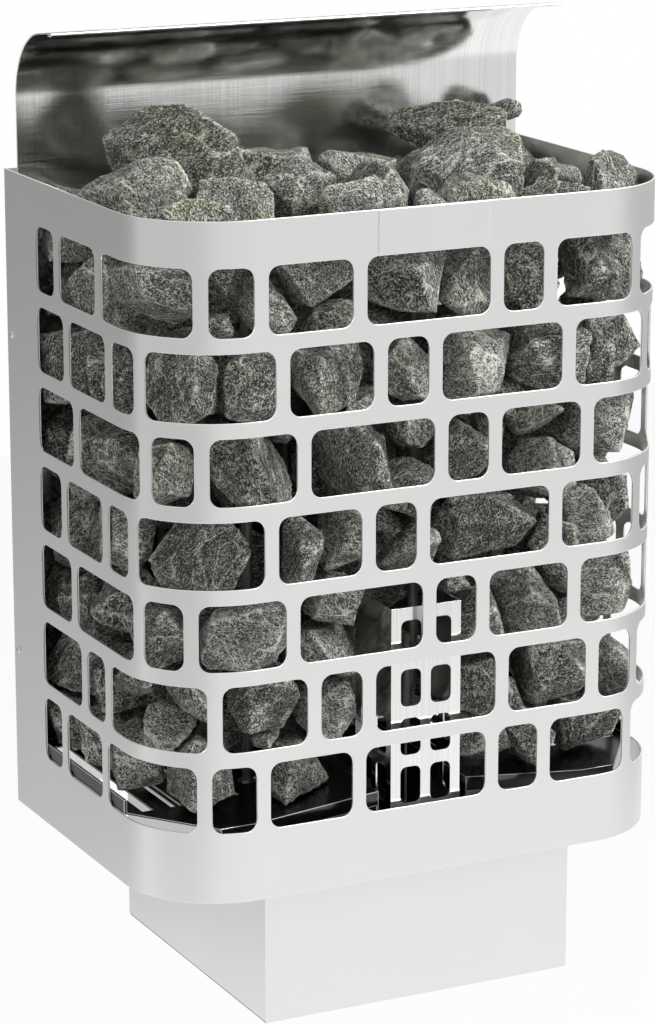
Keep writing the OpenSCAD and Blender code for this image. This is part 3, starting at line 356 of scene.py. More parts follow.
castLook = {  # moulded and turned: name, tone, roughness, scale of its spots and how far they change it
    "brass": ("turnedBrass", (0.72, 0.56, 0.30), 0.34, 420, 0.16, 0.00004, 1.0),
    "porcelain": ("porcelain", (0.86, 0.84, 0.78), 0.45, 260, 0.05),
    "black_plastic": ("blackPlastic", (0.035, 0.035, 0.037), 0.48, 900, 0.2),
    "red_plastic": ("redPlastic", (0.60, 0.045, 0.035), 0.28, 500, 0.08),
    "black_rubber": ("blackRubber", (0.045, 0.045, 0.045), 0.72, 600, 0.3),
    "grey_insulation": ("greyInsulation", (0.10, 0.10, 0.11), 0.55, 500, 0.1),
    "blue_insulation": ("blueInsulation", (0.10, 0.22, 0.45), 0.55, 500, 0.1),
}
castSurface = {"broad": (30, 2), "roughSpots": 0.7, "roughChange": 0.16, "skin": 4, "felt": 0.4}


def mottled(name, tone, rough, spots, change, depth=0.0001, metallic=0.0):
    def colour(board):
        marks = board.noise(board.place(), spots, 3, 0.6)
        broad = board.noise(board.place(), *castSurface["broad"])
        lift = 1.0 + (marks - middle) * change + (broad - middle) * change
        return board.blend(1.0, tone, lift, "MULTIPLY")

    def roughness(board):
        marks = board.noise(board.place(), spots * castSurface["roughSpots"], 3)
        return rough + (marks - middle) * castSurface["roughChange"]

    def normal(board):
        skin = board.noise(board.place(), spots * castSurface["skin"], 2)
        return board.bump(skin, depth, castSurface["felt"])

    return newMaterial(name, colour, roughness, normal, metallic)


finishes = {
    "jacket_steel": steel("satinSteel", steelLook["jacket"]),
    "plain_steel": steel("plainSteel", steelLook["plain"]),
    "mirror_steel": mirrorSteel(),
    "sheath_steel": sheathSteel(),
    "stone": stoneMaterial(),
    **{slotName: mottled(*look) for slotName, look in castLook.items()},
}
shadedSteel = steel("shadedSteel", steelLook["shaded"])
for nodeName, cadPart in nodes.items():
    cadPart.data.materials.clear()
    cadPart.data.materials.append(finishes[nodeSlot[nodeName]])
print("finishes ready:", len(finishes))


def meshPiece(name, points, faces, slotName, body="heater", values=None):
    mesh = bpy.data.meshes.new(name)
    if isinstance(faces, list):  # faces with different numbers of corners
        mesh.from_pydata([tuple(p) for p in points], [], faces)
    else:
        count, corners = faces.shape
        mesh.vertices.add(len(points))
        mesh.vertices.foreach_set("co", np.asarray(points, dtype=np.float32).ravel())
        mesh.loops.add(count * corners)
        mesh.loops.foreach_set("vertex_index", faces.ravel())
        mesh.polygons.add(count)
        mesh.polygons.foreach_set("loop_start", np.arange(0, count * corners, corners, dtype=np.int32))
    for key, value in (values or {}).items():
        layer = mesh.attributes.new(key, "FLOAT", "POINT")
        layer.data.foreach_set("value", np.asarray(value, dtype=np.float32))
    mesh.update(calc_edges=True)
    mesh.validate()
    mesh.polygons.foreach_set("use_smooth", np.ones(len(mesh.polygons), dtype=bool))
    piece = bpy.data.objects.new(name, mesh)
    bpy.context.scene.collection.objects.link(piece)
    mesh.materials.append(finishes[slotName])
    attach(piece, body)
    return piece


rounding = {  # angles in degrees: what is flat, what is a sharp edge, what is shaded smooth
    "weld": 2e-6, "flat": 1, "sharp": 35, "smooth": 32, "steps": 2, "profile": 0.6,
}


def softened(nodeName, width, body="heater"):  # the solid with its sharp edges rounded
    mesh = nodes[nodeName].data.copy()
    mesh.name = nodeName + "Soft"
    shape = bmesh.new()
    shape.from_mesh(mesh)
    bmesh.ops.remove_doubles(shape, verts=shape.verts, dist=rounding["weld"])
    bmesh.ops.dissolve_limit(shape, angle_limit=math.radians(rounding["flat"]),
                             verts=shape.verts, edges=shape.edges)
    least = math.radians(rounding["sharp"])
    sharp = [e for e in shape.edges if len(e.link_faces) == 2 and e.calc_face_angle(0) > least]
    edgeHighlightLayer = shape.faces.layers.float.new("edge")
    made = bmesh.ops.bevel(shape, geom=sharp, offset=width, segments=rounding["steps"],
                           profile=rounding["profile"], affect="EDGES", clamp_overlap=True)
    # painted highlight: the new rounded faces are marked to be drawn near white
    for face in made["faces"]:
        face[edgeHighlightLayer] = 1.0
    for face in shape.faces:
        face.smooth = True
    shape.to_mesh(mesh)
    shape.free()
    piece = bpy.data.objects.new(nodeName + "Dressed", mesh)
    bpy.context.scene.collection.objects.link(piece)
    mesh.set_sharp_from_angle(angle=math.radians(rounding["smooth"]))
    weighted = piece.modifiers.new("evenNormals", "WEIGHTED_NORMAL")
    weighted.keep_sharp = True
    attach(piece, body)
    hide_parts(nodeName)
    return piece


jacket = {
    "width": 0.410, "depth": 0.272, "height": 0.478, "foot": -0.380, "round": 0.0705, "sheet": 0.0015,
    "topBand": 0.032, "windowHeight": 0.047, "rowPitch": 0.058, "rows": 7,
    "unit": 0.0315, "bar": 0.0108, "windowRound": 0.008, "margin": 0.0585, "leastWindow": 0.015,
    "firstUnits": [1, 1.5, 2, 1.22, 1.73, 2.24, 1],
    "unitOrders": [[2, 3, 1], [2, 1, 3], [3, 1, 2], [2, 1, 3], [3, 1, 2], [1, 3, 2], [2, 3, 1]],
    "burr": 0.00055, "burrLeans": [0, 30, 60, 90], "edgeHighlightShares": [0.5, 1, 1, 0.35, 0, 0, 0],
    "bendSteps": 48, "roundSteps": 6, "leastTurn": 0.4,
}
sideRun = jacket["depth"] - jacket["round"]
bendRun = math.pi * jacket["round"] / 2
frontRun = jacket["width"] - 2 * jacket["round"]
girth = 2 * sideRun + 2 * bendRun + frontRun
hair, sameSpot = 1e-6, 1e-7  # places closer than these are one


def onJacket(along, deep):  # points and outward normals by distance round the jacket and depth in the sheet
    marks = np.array([0, sideRun, sideRun + bendRun, sideRun + bendRun + frontRun, girth - sideRun, girth])
    angle = np.interp(along, marks, [0, 0, math.pi / 2, math.pi / 2, math.pi, math.pi])
    normal = np.stack([-np.cos(angle), -np.sin(angle)], 1)
    half, front, r = jacket["width"] / 2, -jacket["depth"], jacket["round"]
    pivotX = np.interp(along, marks, [r - half, r - half, r - half, half - r, half - r, half - r])
    pivotY = np.interp(along, marks, [0, front + r, front + r, front + r, front + r, 0])
    return np.stack([pivotX, pivotY], 1) + normal * (r - deep), normal


def windowRows():
    for row in range(jacket["rows"]):
        top = jacket["height"] - jacket["topBand"] - row * jacket["rowPitch"]
        start, units, turn = jacket["margin"], jacket["firstUnits"][row], 0
        while True:
            stop = min(start + units * jacket["unit"], girth - jacket["margin"])
            if stop - start < jacket["leastWindow"]:
                break
            yield start, stop, top - jacket["windowHeight"], top
            units = jacket["unitOrders"][row][turn % 3]
            start, turn = stop + jacket["bar"], turn + 1


def bendLines():
    first = sideRun + bendRun / jacket["bendSteps"] * np.arange(jacket["bendSteps"] + 1)
    return np.concatenate([first, girth - first[::-1]])


def windowLoop(left, right, low, high, lines):  # loop just outside the window, with its inward directions
    burr, steps = jacket["burr"], jacket["roundSteps"]
    left, right, low, high = left - burr, right + burr, low - burr, high + burr
    r = jacket["windowRound"] + burr
    between = [line for line in lines if left + r + hair < line < right - r - hair]
    places = []
    for corner, (cx, cz) in enumerate([(right - r, high - r), (left + r, high - r),
                                       (left + r, low + r), (right - r, low + r)]):
        angles = [corner * 90 + 90 * k / steps for k in range(steps + 1)]
        for line in lines:  # the bend lines that cross this corner
            if abs(line - cx) < r - hair and (line - cx) * (1 if corner in (0, 3) else -1) > hair:
                lean = math.degrees(math.acos(abs(line - cx) / r))
                angles.append([lean, 180 - lean, 180 + lean, 360 - lean][corner])
        for a in sorted(angles):
            if not places or abs(a - places[-1][3]) > jacket["leastTurn"] or corner != places[-1][4]:
                c, s = math.cos(math.radians(a)), math.sin(math.radians(a))
                places.append((cx + r * c, cz + r * s, (-c, -s), a, corner))
        if corner == 0:
            places += [(line, high, (0, -1), 90, 0) for line in reversed(between)]
        if corner == 2:
            places += [(line, low, (0, 1), 270, 2) for line in between]
    return [(p[0], p[1]) for p in places], [p[2] for p in places]


def facedBy(points, normals, faces):  # turns each face to the side that its normals show
    out = []
    for face in faces:
        a, b, c = points[face[0]], points[face[1]], points[face[2]]
        way = np.cross(b - a, c - a)
        if len(face) == 4:
            way = way + np.cross(c - a, points[face[3]] - a)
        wanted = sum(normals[i] for i in face)
        out.append(face if way @ wanted > 0 else tuple(reversed(face)))
    return out


def flatTriangles(loops, windows, lines):  # the sheet laid flat, cut at the windows and at the bend lines
    points = [p for loop in loops for p in loop]
    starts = np.cumsum([0] + [len(loop) for loop in loops])
    rings = [list(range(starts[i], starts[i + 1])) for i in range(len(loops))]
    burr, edges = jacket["burr"], []
    for line in lines:
        onLine = sorted((z, i) for i, (x, z) in enumerate(points) if abs(x - line) < sameSpot)
        for (z1, i1), (z2, i2) in zip(onLine, onLine[1:]):
            between = (z1 + z2) / 2
            if not any(w[0] - burr < line < w[1] + burr and w[2] - burr < between < w[3] + burr
                       for w in windows):
                edges.append((i1, i2))
    found = delaunay_2d_cdt([Vector(p) for p in points], edges, rings, 1, sameSpot)
    kept = [f for f, source in zip(found[2], found[5]) if not any(s > 0 for s in source)]
    return np.array([tuple(v) for v in found[0]]), np.array(kept, dtype=np.int32)


def buildJacket():
    burr, sheet = jacket["burr"], jacket["sheet"]
    low, high = burr, jacket["height"] - burr
    lines, windows = bendLines(), list(windowRows())
    loops = [[(burr, low), *[(x, low) for x in lines], (girth - burr, low),
              (girth - burr, high), *[(x, high) for x in reversed(lines)], (burr, high)]]
    inward = [[(-1, -1), *[(0, -1)] * len(lines), (1, -1), (1, 1), *[(0, 1)] * len(lines), (-1, 1)]]
    for window in windows:
        loop, aims = windowLoop(*window, lines)
        loops.append(loop)
        inward.append(aims)
    flat, triangles = flatTriangles(loops, windows, lines)
    vertices, normals, quads, marks = [], [], [], []

    def layer(flatPlaces, deep, aims, lean):  # adds one layer of vertices and returns their first number
        first = sum(len(v) for v in vertices)
        place, normal = onJacket(flatPlaces[:, 0], deep)
        vertices.append(np.column_stack([place, flatPlaces[:, 1] + jacket["foot"]]))
        out = np.column_stack([normal, np.zeros(len(normal))])
        forward = np.column_stack([-normal[:, 1], normal[:, 0]])  # the way the distance grows
        across = np.column_stack([forward * aims[:, :1] * -1, aims[:, 1]])
        across /= np.maximum(np.linalg.norm(across, axis=1, keepdims=True), 1e-9)
        normals.append(out * math.cos(lean) + across * math.sin(lean))
        return first

    noAim = np.zeros((len(flat), 2))
    outer = layer(flat, 0, noAim, 0)
    inner = layer(flat, sheet, noAim, math.pi)
    flatFaces = np.concatenate([triangles + outer, triangles[:, ::-1] + inner])
    leans = jacket["burrLeans"]
    for loop, aims in zip(loops, inward):  # a rounded burr round every edge
        base, aims, rows = np.array(loop), np.array(aims, dtype=float), []
        for lean in leans + [180 - a for a in reversed(leans)]:
            t = math.radians(lean)
            deep = burr * (1 - math.cos(t)) if lean <= 90 else sheet - burr * (1 + math.cos(t))
            rows.append(layer(base + aims * (burr * math.sin(t)), deep, aims, t))
        # painted highlight: each burr row carries its share of the near-white edge colour, strongest on the
        # outer rows
        for (a, b), mark in zip(zip(rows, rows[1:]), jacket["edgeHighlightShares"]):
            marks += [mark] * len(loop)
            for k in range(len(loop)):
                m = (k + 1) % len(loop)
                quads.append((a + k, a + m, b + m, b + k))
    points, normals = np.concatenate(vertices), np.concatenate(normals)
    faces = [tuple(face) for face in flatFaces.tolist()] + quads
    piece = meshPiece("jacketWrap", points, facedBy(points, normals, faces), "jacket_steel")
    edge = piece.data.attributes.new("edge", "FLOAT", "FACE")
    edge.data.foreach_set("value", [0.0] * len(flatFaces) + marks)
    piece.data.normals_split_custom_set_from_vertices([tuple(n) for n in normals])
    return piece


jacketPiece = buildJacket()
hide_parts("jacket")
print("jacket:", len(jacketPiece.data.polygons), "faces")


reflector = {
    "half": 0.203, "face": -0.0214, "sheet": 0.001, "foot": -0.366, "curlFrom": 0.152, "radius": 0.050,
    "turn": 83, "lip": 0.025, "hem": 0.0062, "hemThick": 0.0028, "edge": 0.0003,
    "curlSteps": 40, "wallSteps": 12, "lipSteps": 4, "rollSteps": 8, "columns": 20, "columnReach": 0.19,
    "smooth": 40,
}


def reflectorOutline():  # the bent sheet seen from its side, as depth and height
    r, t, face, foot = reflector["radius"], reflector["sheet"], reflector["face"], reflector["foot"]
    lip, hem, thick = reflector["lip"], reflector["hem"], reflector["hemThick"]
    steps, wallSteps = reflector["curlSteps"], reflector["wallSteps"]
    curlFrom, tipRound = reflector["curlFrom"], thick / 2
    turns = [math.radians(reflector["turn"]) * k / steps for k in range(steps + 1)]

    def wall(depth, numbers):
        return [(depth, foot + (curlFrom - foot) * k / wallSteps) for k in numbers]

    def curl(radius, angles):
        return [(face + t - r + radius * math.cos(a), curlFrom + radius * math.sin(a)) for a in angles]

    ahead = np.array([-math.sin(turns[-1]), math.cos(turns[-1])])
    inward = np.array([-math.cos(turns[-1]), -math.sin(turns[-1])])
    outerCurl = curl(r, turns)
    last = np.array(outerCurl[-1])
    lipMarks = [last + ahead * lip * k / reflector["lipSteps"] for k in range(reflector["lipSteps"])]
    tipCentre = last + ahead * (lip - tipRound) + inward * tipRound
    halfTurn = [math.pi * k / reflector["rollSteps"] for k in range(reflector["rollSteps"] + 1)]
    roll = [tipCentre - inward * tipRound * math.cos(a) + ahead * tipRound * math.sin(a) for a in halfTurn]
    hemStart = last + ahead * (lip - hem) + inward * thick
    hemStep = hemStart - inward * (thick - t)
    innerLip = [mark + inward * t for mark in reversed(lipMarks[1:-1])]
    return np.array([*wall(face + t, range(wallSteps)), *outerCurl, *lipMarks[1:], *roll, hemStart, hemStep,
                     *innerLip, *curl(r - t, reversed(turns)), *wall(face, reversed(range(wallSteps)))])


def buildReflector():
    outline, edge, half = reflectorOutline(), reflector["edge"], reflector["half"]
    forward = np.roll(outline, -1, 0) - np.roll(outline, 1, 0)
    side = np.column_stack([-forward[:, 1], forward[:, 0]])
    side /= np.linalg.norm(side, axis=1, keepdims=True)
    reach = reflector["columnReach"]
    xs = [-half, -half + edge, *np.linspace(-reach, reach, reflector["columns"]), half - edge, half]
    points, faces = [], []
    n, last = len(outline), len(xs) - 1
    for i, x in enumerate(xs):
        shrink = edge if i in (0, last) else 0
        points += [(x, *place) for place in outline + side * shrink]
    for i in range(last):
        for k in range(n):
            m = (k + 1) % n
            faces.append((i * n + k, i * n + m, (i + 1) * n + m, (i + 1) * n + k))
    faces += [tuple(reversed(range(n))), tuple(range(last * n, (last + 1) * n))]
    piece = meshPiece("reflectorSheet", points, faces, "mirror_steel")
    shape = bmesh.new()
    shape.from_mesh(piece.data)
    bmesh.ops.recalc_face_normals(shape, faces=shape.faces)
    bmesh.ops.triangulate(shape, faces=[f for f in shape.faces if len(f.verts) > 4])
    shape.to_mesh(piece.data)
    shape.free()
    piece.data.set_sharp_from_angle(angle=math.radians(reflector["smooth"]))
    return piece


reflectorPiece = buildReflector()
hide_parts("back_reflector")
print("reflector done")


softEdges = {  # how wide each piece's edges are rounded
    "name_plate": 0.00025, "terminal_box": 0.0005, "box_cover": 0.0004, "element_plate": 0.0005,
    "rear_panel": 0.0005, "wall_hangers": 0.0007, "air_channel": 0.0004, "tray_left": 0.0005,
    "tray_right": 0.0005, "wall_spacers": 0.0012, "side_screws": 0.0004, "cover_screws": 0.0003,
    "plate_screws": 0.0004, "cable_gland": 0.0008, "gland_nut": 0.0006, "limiter_nut": 0.0005,
    "limiter_body": 0.0008, "terminal_block": 0.0005, "element_ferrules": 0.0005, "element_nuts": 0.0006,
    "wall_bracket": 0.0007, "reset_button": 0.0008,
}
otherBodies = {"wall_bracket": "bracket", "reset_button": "button"}
leftward = -0.3  # a face looks left when its normal's x is below this
dressed = {nodeName: softened(nodeName, width, otherBodies.get(nodeName, "heater"))
           for nodeName, width in softEdges.items()}
for nodeName in ("tray_left", "tray_right"):  # painted shade: the trays below the stones are drawn near black, as they lie in shade there
    dressed[nodeName].data.materials[0] = shadedSteel
# painted shade: the cover's left-facing faces are marked to be drawn near black, as the gap in shadow under
# the box's left wall
cover = dressed["box_cover"].data
seam = cover.attributes.new("seam", "FLOAT", "FACE")
seam.data.foreach_set("value", [float(face.normal.x < leftward) for face in cover.polygons])
print("softened pieces:", len(softEdges))


stoneShape = {
    "edgeLength": 0.0020, "stepShare": 1.2, "steps": (7, 28), "power": 120.0, "sameFace": 0.12,
    "leastGap": 0.002, "leastShare": 0.8, "chips": (4, 9), "chipDepth": (0.92, 0.99),
    "swells": [(0.031, 0.0007), (0.013, 0.0007), (0.0055, 0.0006), (0.0026, 0.0003)], "ridgeWave": 1.3,
    "ledges": [(0.024, 0.0010), (0.011, 0.0007)], "ledgeEdge": 0.025, "ledgeStretch": (1, 0.6, 1.8),
    "hillShift": 0.37, "ridgeShift": 0.11, "ledgeShift": 0.19, "ridgeSeed": 9, "ledgeSeed": 21,
    "wearReach": 0.03, "foldFrom": 0.06, "foldOver": 0.4,
}
hashFactors = {"axes": (374761393, 668265263, 2246822519), "mix": 1274126177, "seed": 97, "start": 13}


def latticeNoise(points, size, seed):  # smooth noise from 0 to 1
    scaled = points / size
    base = np.floor(scaled).astype(np.int64)
    f = scaled - base
    f = f * f * f * (f * (f * 6 - 15) + 10)
    total = np.zeros(len(points))
    x, y, z = (np.uint32(factor) for factor in hashFactors["axes"])
    for corner in range(8):
        offset = np.array([corner & 1, corner >> 1 & 1, corner >> 2 & 1])
        cell = (base + offset).astype(np.uint32)
        h = cell[:, 0] * x + cell[:, 1] * y
        h = h + cell[:, 2] * z + np.uint32(seed * hashFactors["seed"] + hashFactors["start"])
        h = (h ^ (h >> np.uint32(13))) * np.uint32(hashFactors["mix"])
        h = h ^ (h >> np.uint32(16))
        weight = np.prod(np.where(offset == 1, f, 1 - f), axis=1)
        total += weight * (h.astype(float) / (2 ** 32 - 1))
    return total


knownBalls = {}


def ballMesh(steps):  # directions and triangles of an evenly split icosahedron
    if steps in knownBalls:
        return knownBalls[steps]
    g = (1 + 5 ** 0.5) / 2
    tips = np.array([(-1, g, 0), (1, g, 0), (-1, -g, 0), (1, -g, 0), (0, -1, g), (0, 1, g),
                     (0, -1, -g), (0, 1, -g), (g, 0, -1), (g, 0, 1), (-g, 0, -1), (-g, 0, 1)], dtype=float)
    sides = [(0, 11, 5), (0, 5, 1), (0, 1, 7), (0, 7, 10), (0, 10, 11), (1, 5, 9), (5, 11, 4), (11, 10, 2),
             (10, 7, 6), (7, 1, 8), (3, 9, 4), (3, 4, 2), (3, 2, 6), (3, 6, 8), (3, 8, 9), (4, 9, 5),
             (2, 4, 11), (6, 2, 10), (8, 6, 7), (9, 8, 1)]
    points, triangles, known = [], [], {}

    def number(p):
        key = tuple(np.round(p, 6))
        if key not in known:
            known[key] = len(points)
            points.append(p)
        return known[key]

    for a, b, c in sides:
        rows = []
        for i in range(steps + 1):
            rows.append([])
            for j in range(i + 1):
                p = tips[a] * (steps - i) + tips[b] * (i - j) + tips[c] * j
                rows[-1].append(number(p / np.linalg.norm(p)))
        for i in range(steps):
            for j in range(i + 1):
                triangles.append((rows[i][j], rows[i + 1][j], rows[i + 1][j + 1]))
                if j < i:
                    triangles.append((rows[i][j], rows[i + 1][j + 1], rows[i][j + 1]))
    knownBalls[steps] = (np.array(points), np.array(triangles, dtype=np.int32))
    return knownBalls[steps]


def looseSolids(nodeName):  # the centre and the planes of each separate solid in a node
    mesh = nodes[nodeName].data
    co = np.zeros(len(mesh.vertices) * 3)
    mesh.vertices.foreach_get("co", co)
    keys, index = np.unique(np.round(co.reshape(-1, 3) / hair).astype(np.int64), axis=0,
                            return_inverse=True)
    index = index.ravel()
    places = keys * hair
    parent = list(range(len(places)))

    def root(i):
        while parent[i] != i:
            parent[i] = parent[parent[i]]
            i = parent[i]
        return i

    triangles = [[int(index[v]) for v in polygon.vertices] for polygon in mesh.polygons]
    for corners in triangles:
        first = root(corners[0])
        for other in corners[1:]:
            parent[root(other)] = first
    groups = {}
    for corners in triangles:
        groups.setdefault(root(corners[0]), []).append(corners)
    solids = []
    for group in groups.values():
        centre = places[sorted({i for corners in group for i in corners})].mean(0)
        planes = []
        for a, b, c in ((places[t[0]], places[t[1]], places[t[2]]) for t in group):
            normal = np.cross(b - a, c - a)
            size = np.linalg.norm(normal)
            if size > 1e-10:
                normal = normal / size
                gap = float(normal @ (a - centre))
                if gap < 0:
                    normal, gap = -normal, -gap
                planes.append((*normal, gap))
        solids.append((centre, np.unique(np.round(np.array(planes), 5), axis=0)))
    solids.sort(key=lambda solid: tuple(np.round(solid[0], 4)))
    return solids


def planeShares(ways, normals, gaps):  # one over how far out each way meets each plane
    return np.maximum(ways @ normals.T, 0) / np.maximum(gaps, stoneShape["leastGap"])


def shapeStone(centre, planes, chance, seed, fineness):
    size = float(np.median(planes[:, 3]))
    steps = int(np.clip(round(size * stoneShape["stepShare"] / fineness), *stoneShape["steps"]))
    ball, triangles = ballMesh(steps)
    turn, _ = np.linalg.qr(chance.normal(size=(3, 3)))
    ways = ball @ turn
    if np.linalg.det(turn) < 0:
        triangles = triangles[:, ::-1]
    chipWays = chance.normal(size=(chance.integers(*stoneShape["chips"]), 3))
    chipWays /= np.linalg.norm(chipWays, axis=1, keepdims=True)
    reach = 1 / planeShares(chipWays, planes[:, :3], planes[:, 3]).max(1)
    chipGaps = reach * chance.uniform(*stoneShape["chipDepth"], len(reach))
    normals = np.concatenate([planes[:, :3], chipWays])
    shares = planeShares(ways, normals, np.concatenate([planes[:, 3], chipGaps]))
    likeness = np.exp(-2 * (1 - np.clip(normals @ normals.T, -1, 1)) / stoneShape["sameFace"] ** 2)
    power = stoneShape["power"]
    radius = (shares ** power @ (1 / likeness.sum(1))) ** (-1 / power)
    # how near each point lies to a sharp fold; it lightens the edges, partly as scuffing and partly as
    # painted highlight
    most = shares.max(1)[:, None]
    near = np.exp(-(most - shares) / most / stoneShape["wearReach"])
    fold = 1 - normals[shares.argmax(1)] @ normals.T
    wear = (near * np.clip((fold - stoneShape["foldFrom"]) / stoneShape["foldOver"], 0, 1)).max(1)
    places = centre + ways * radius[:, None]
    sink = np.zeros(len(places))
    for k, (wave, deep) in enumerate(stoneShape["swells"]):
        hill = latticeNoise(places + seed * stoneShape["hillShift"], wave, k)
        crossed = latticeNoise(places + seed * stoneShape["ridgeShift"], wave * stoneShape["ridgeWave"],
                               k + stoneShape["ridgeSeed"])
        ridge = 1 - np.abs(2 * crossed - 1)
        sink += deep * (0.5 * hill + 0.5 * ridge)
    for k, (wave, deep) in enumerate(stoneShape["ledges"]):
        shelf = latticeNoise(places @ turn * stoneShape["ledgeStretch"] + seed * stoneShape["ledgeShift"],
                             wave, k + stoneShape["ledgeSeed"])
        sink += deep * np.clip((shelf - 0.5) / stoneShape["ledgeEdge"] + 0.5, 0, 1)
    places = centre + ways * np.maximum(radius - sink, radius * stoneShape["leastShare"])[:, None]
    return places, triangles, wear


def buildStones(nodeName, name, seed, moss, fineness):
    chance = np.random.default_rng(seed)
    points, faces, wear, tone, count = [], [], [], [], 0
    for k, (centre, planes) in enumerate(looseSolids(nodeName)):
        places, triangles, wornAndLit = shapeStone(centre, planes, chance, seed + k, fineness)
        points.append(places)
        faces.append(triangles + count)
        wear.append(wornAndLit)
        tone.append(np.full(len(places), chance.uniform(0, 1)))
        count += len(places)
    piece = meshPiece(name, np.concatenate(points), np.concatenate(faces), "stone", values={
        "wear": np.concatenate(wear), "tone": np.concatenate(tone), "moss": np.full(count, moss)})
    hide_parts(nodeName)
    print(name, len(piece.data.polygons), "faces")


stoneGroups = {  # name, seed, share of moss, and how much coarser than the front its mesh is
    "stones_front_low": ("stonesFrontLow", 11, 0.1, 1),
    "stones_front_high": ("stonesFrontHigh", 23, 0.25, 1),
    "stones_left": ("stonesLeft", 37, 0.2, 1.15),
    "stones_right": ("stonesRight", 41, 0.2, 1.25),
    "stones_core": ("stonesCore", 53, 0.1, 1.9),
    "stones_top": ("stonesTop", 67, 0.9, 1),
}
fineness = stoneShape["edgeLength"] * 1
for nodeName, (groupName, seed, moss, coarser) in stoneGroups.items():
    buildStones(nodeName, groupName, seed, moss, fineness * coarser)


studio = {
    "floorHeight": -0.95, "floorHalf": 3.2, "floorTone": 0.92, "floorGlow": 0.92,
    "floorFar": {"from": 2.3, "to": 3.2, "level": 0.78},
    "world": {"diffuse": 0.40, "low": 0.75, "high": 0.69, "from": -0.10, "to": 0.12},
    "cards": {  # grey cards that only metal sees, with their greys at two heights
        "leftCard": {"centre": (-0.60, 1.10), "size": (2.6, 2.4),
                     "heights": (-0.85, -0.08), "levels": (0.59, 0.33)},
        "cornerCard": {"centre": (-1.72, -0.88), "size": (2.9, 2.6),
                       "heights": (-0.9, 0.2), "levels": (0.50, 0.66)},
        "rightCard": {"centre": (2.05, 0.15), "size": (3.8, 2.6),
                      "heights": (-0.9, 0.2), "levels": (0.54, 0.56)},
    },
    "lamps": {
        "keyLamp": {"place": (1.7, -2.3, 2.0), "size": 1.5, "power": 98},
        "fillLamp": {"place": (-2.6, -1.6, 0.9), "size": 2.0, "power": 9},
        "topLamp": {"place": (1.3, -0.2, 1.3), "size": 1.0, "power": 6},
    },
    "aim": (0, -0.14, -0.12),
}
around = ((-1, -1), (1, -1), (1, 1), (-1, 1))


def flatStage(name, corners, build):
    mesh = bpy.data.meshes.new(name)
    mesh.from_pydata(corners, [], [(0, 1, 2, 3)])
    stage = bpy.data.objects.new(name, mesh)
    bpy.context.scene.collection.objects.link(stage)
    material = bpy.data.materials.new(name + "Tone")
    material.use_nodes = True
    build(Board(material.node_tree))
    mesh.materials.append(material)
    return stage


def floorTone(board):  # dull to light that falls on it, white to the camera, metal and glass
    tone, far = studio["floorTone"], studio["floorFar"]
    reach = board.vector("LENGTH", {0: board.place()}, "Value")
    shown = board.sees("Camera")
    fade = board.spread(reach, far["from"], far["to"], 1.0, far["level"])
    dull = board.add("ShaderNodeBsdfDiffuse", {}, {"Color": (tone, tone, tone, 1)})
    glow = board.glow(shown + (1 - shown) * fade)
    rays = board.sees("Camera") + board.sees("Glossy") + board.sees("Transmission")
    seen = board.add("ShaderNodeClamp", {}, {"Value": rays})
    board.show(board.add("ShaderNodeMixShader", {}, {0: seen * studio["floorGlow"], 1: dull, 2: glow}))


def buildFloor():
    half, low = studio["floorHalf"], studio["floorHeight"]
    flatStage("floor", [(half * a, half * b, low) for a, b in around], floorTone)


def greyCard(name, card):
    def cardTone(board):
        board.show(board.glow(board.spread(board.height(board.place()), *card["heights"], *card["levels"])))

    centre, (wide, tall) = Vector((*card["centre"], 0)), card["size"]
    facing = Vector((-centre.x, studio["aim"][1] - centre.y, 0)).normalized()
    across = Vector((facing.y, -facing.x, 0))
    up = Vector((0, 0, 1))
    corners = [centre + across * a * wide / 2 + up * b * tall / 2 for a, b in around]
    stage = flatStage(name, [tuple(c) for c in corners], cardTone)
    stage.visible_camera = False
    stage.visible_diffuse = False
    stage.visible_shadow = False


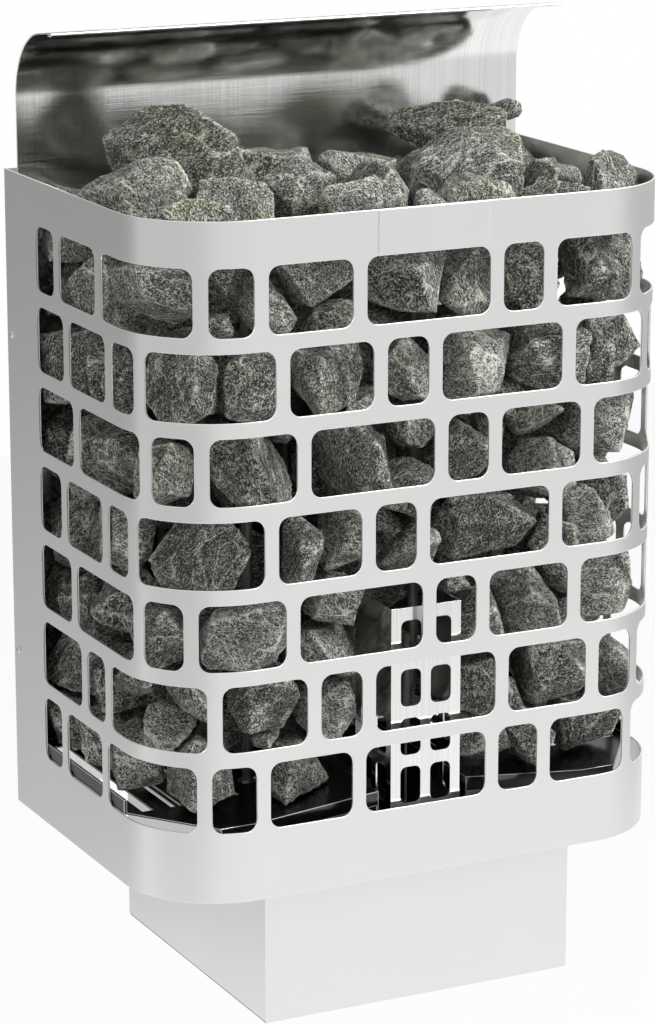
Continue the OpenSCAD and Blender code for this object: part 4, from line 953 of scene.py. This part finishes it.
def buildWorld():  # white to the eye, a little darker overhead to metal, plain to dull surfaces
    world = bpy.data.worlds.new("studioWorld")
    bpy.context.scene.world = world
    world.use_nodes = True
    board, sky = Board(world.node_tree), studio["world"]
    height = board.height(board.add("ShaderNodeTexCoord", {}, {}, "Generated"))
    metal = board.spread(height, sky["from"], sky["to"], sky["low"], sky["high"])
    glossy = board.sees("Glossy")
    white = board.add("ShaderNodeClamp", {}, {"Value": board.sees("Camera") + board.sees("Transmission")})
    level = white + (1 - white) * (glossy * metal + (1 - glossy) * sky["diffuse"])
    glow = board.add("ShaderNodeBackground", {}, {"Color": (1, 1, 1, 1), "Strength": level})
    board.show(glow, "ShaderNodeOutputWorld")


def facingTo(item, way):  # turns a lamp or the camera to look along a direction
    item.rotation_mode = "QUATERNION"
    item.rotation_quaternion = way.to_track_quat("-Z", "Y")
    bpy.context.scene.collection.objects.link(item)


def softLamp(name, spec):
    data = bpy.data.lights.new(name, "AREA")
    data.shape = "DISK"
    data.size = spec["size"]
    data.energy = spec["power"]
    lamp = bpy.data.objects.new(name, data)
    lamp.location = spec["place"]
    facingTo(lamp, Vector(studio["aim"]) - Vector(spec["place"]))


buildFloor()
for cardName, cardSpec in studio["cards"].items():
    greyCard(cardName, cardSpec)
buildWorld()
for lampName, lampSpec in studio["lamps"].items():
    softLamp(lampName, lampSpec)

shot = {"place": (-1.156995, -2.434182, 0.523289), "yaw": 0.4617, "pitch": 0.25554, "lens": 128.80,
        "sensor": 36.0}
cameraData = bpy.data.cameras.new("studioCamera")
cameraData.lens = shot["lens"]
cameraData.sensor_width = shot["sensor"]
cameraData.sensor_fit = "AUTO"
camera = bpy.data.objects.new("studioCamera", cameraData)
camera.location = shot["place"]
facingTo(camera, Vector((math.sin(shot["yaw"]) * math.cos(shot["pitch"]),
                         math.cos(shot["yaw"]) * math.cos(shot["pitch"]), -math.sin(shot["pitch"]))))
bpy.context.scene.camera = camera
bpy.context.scene.view_settings.view_transform = "Standard"
print("studio ready")
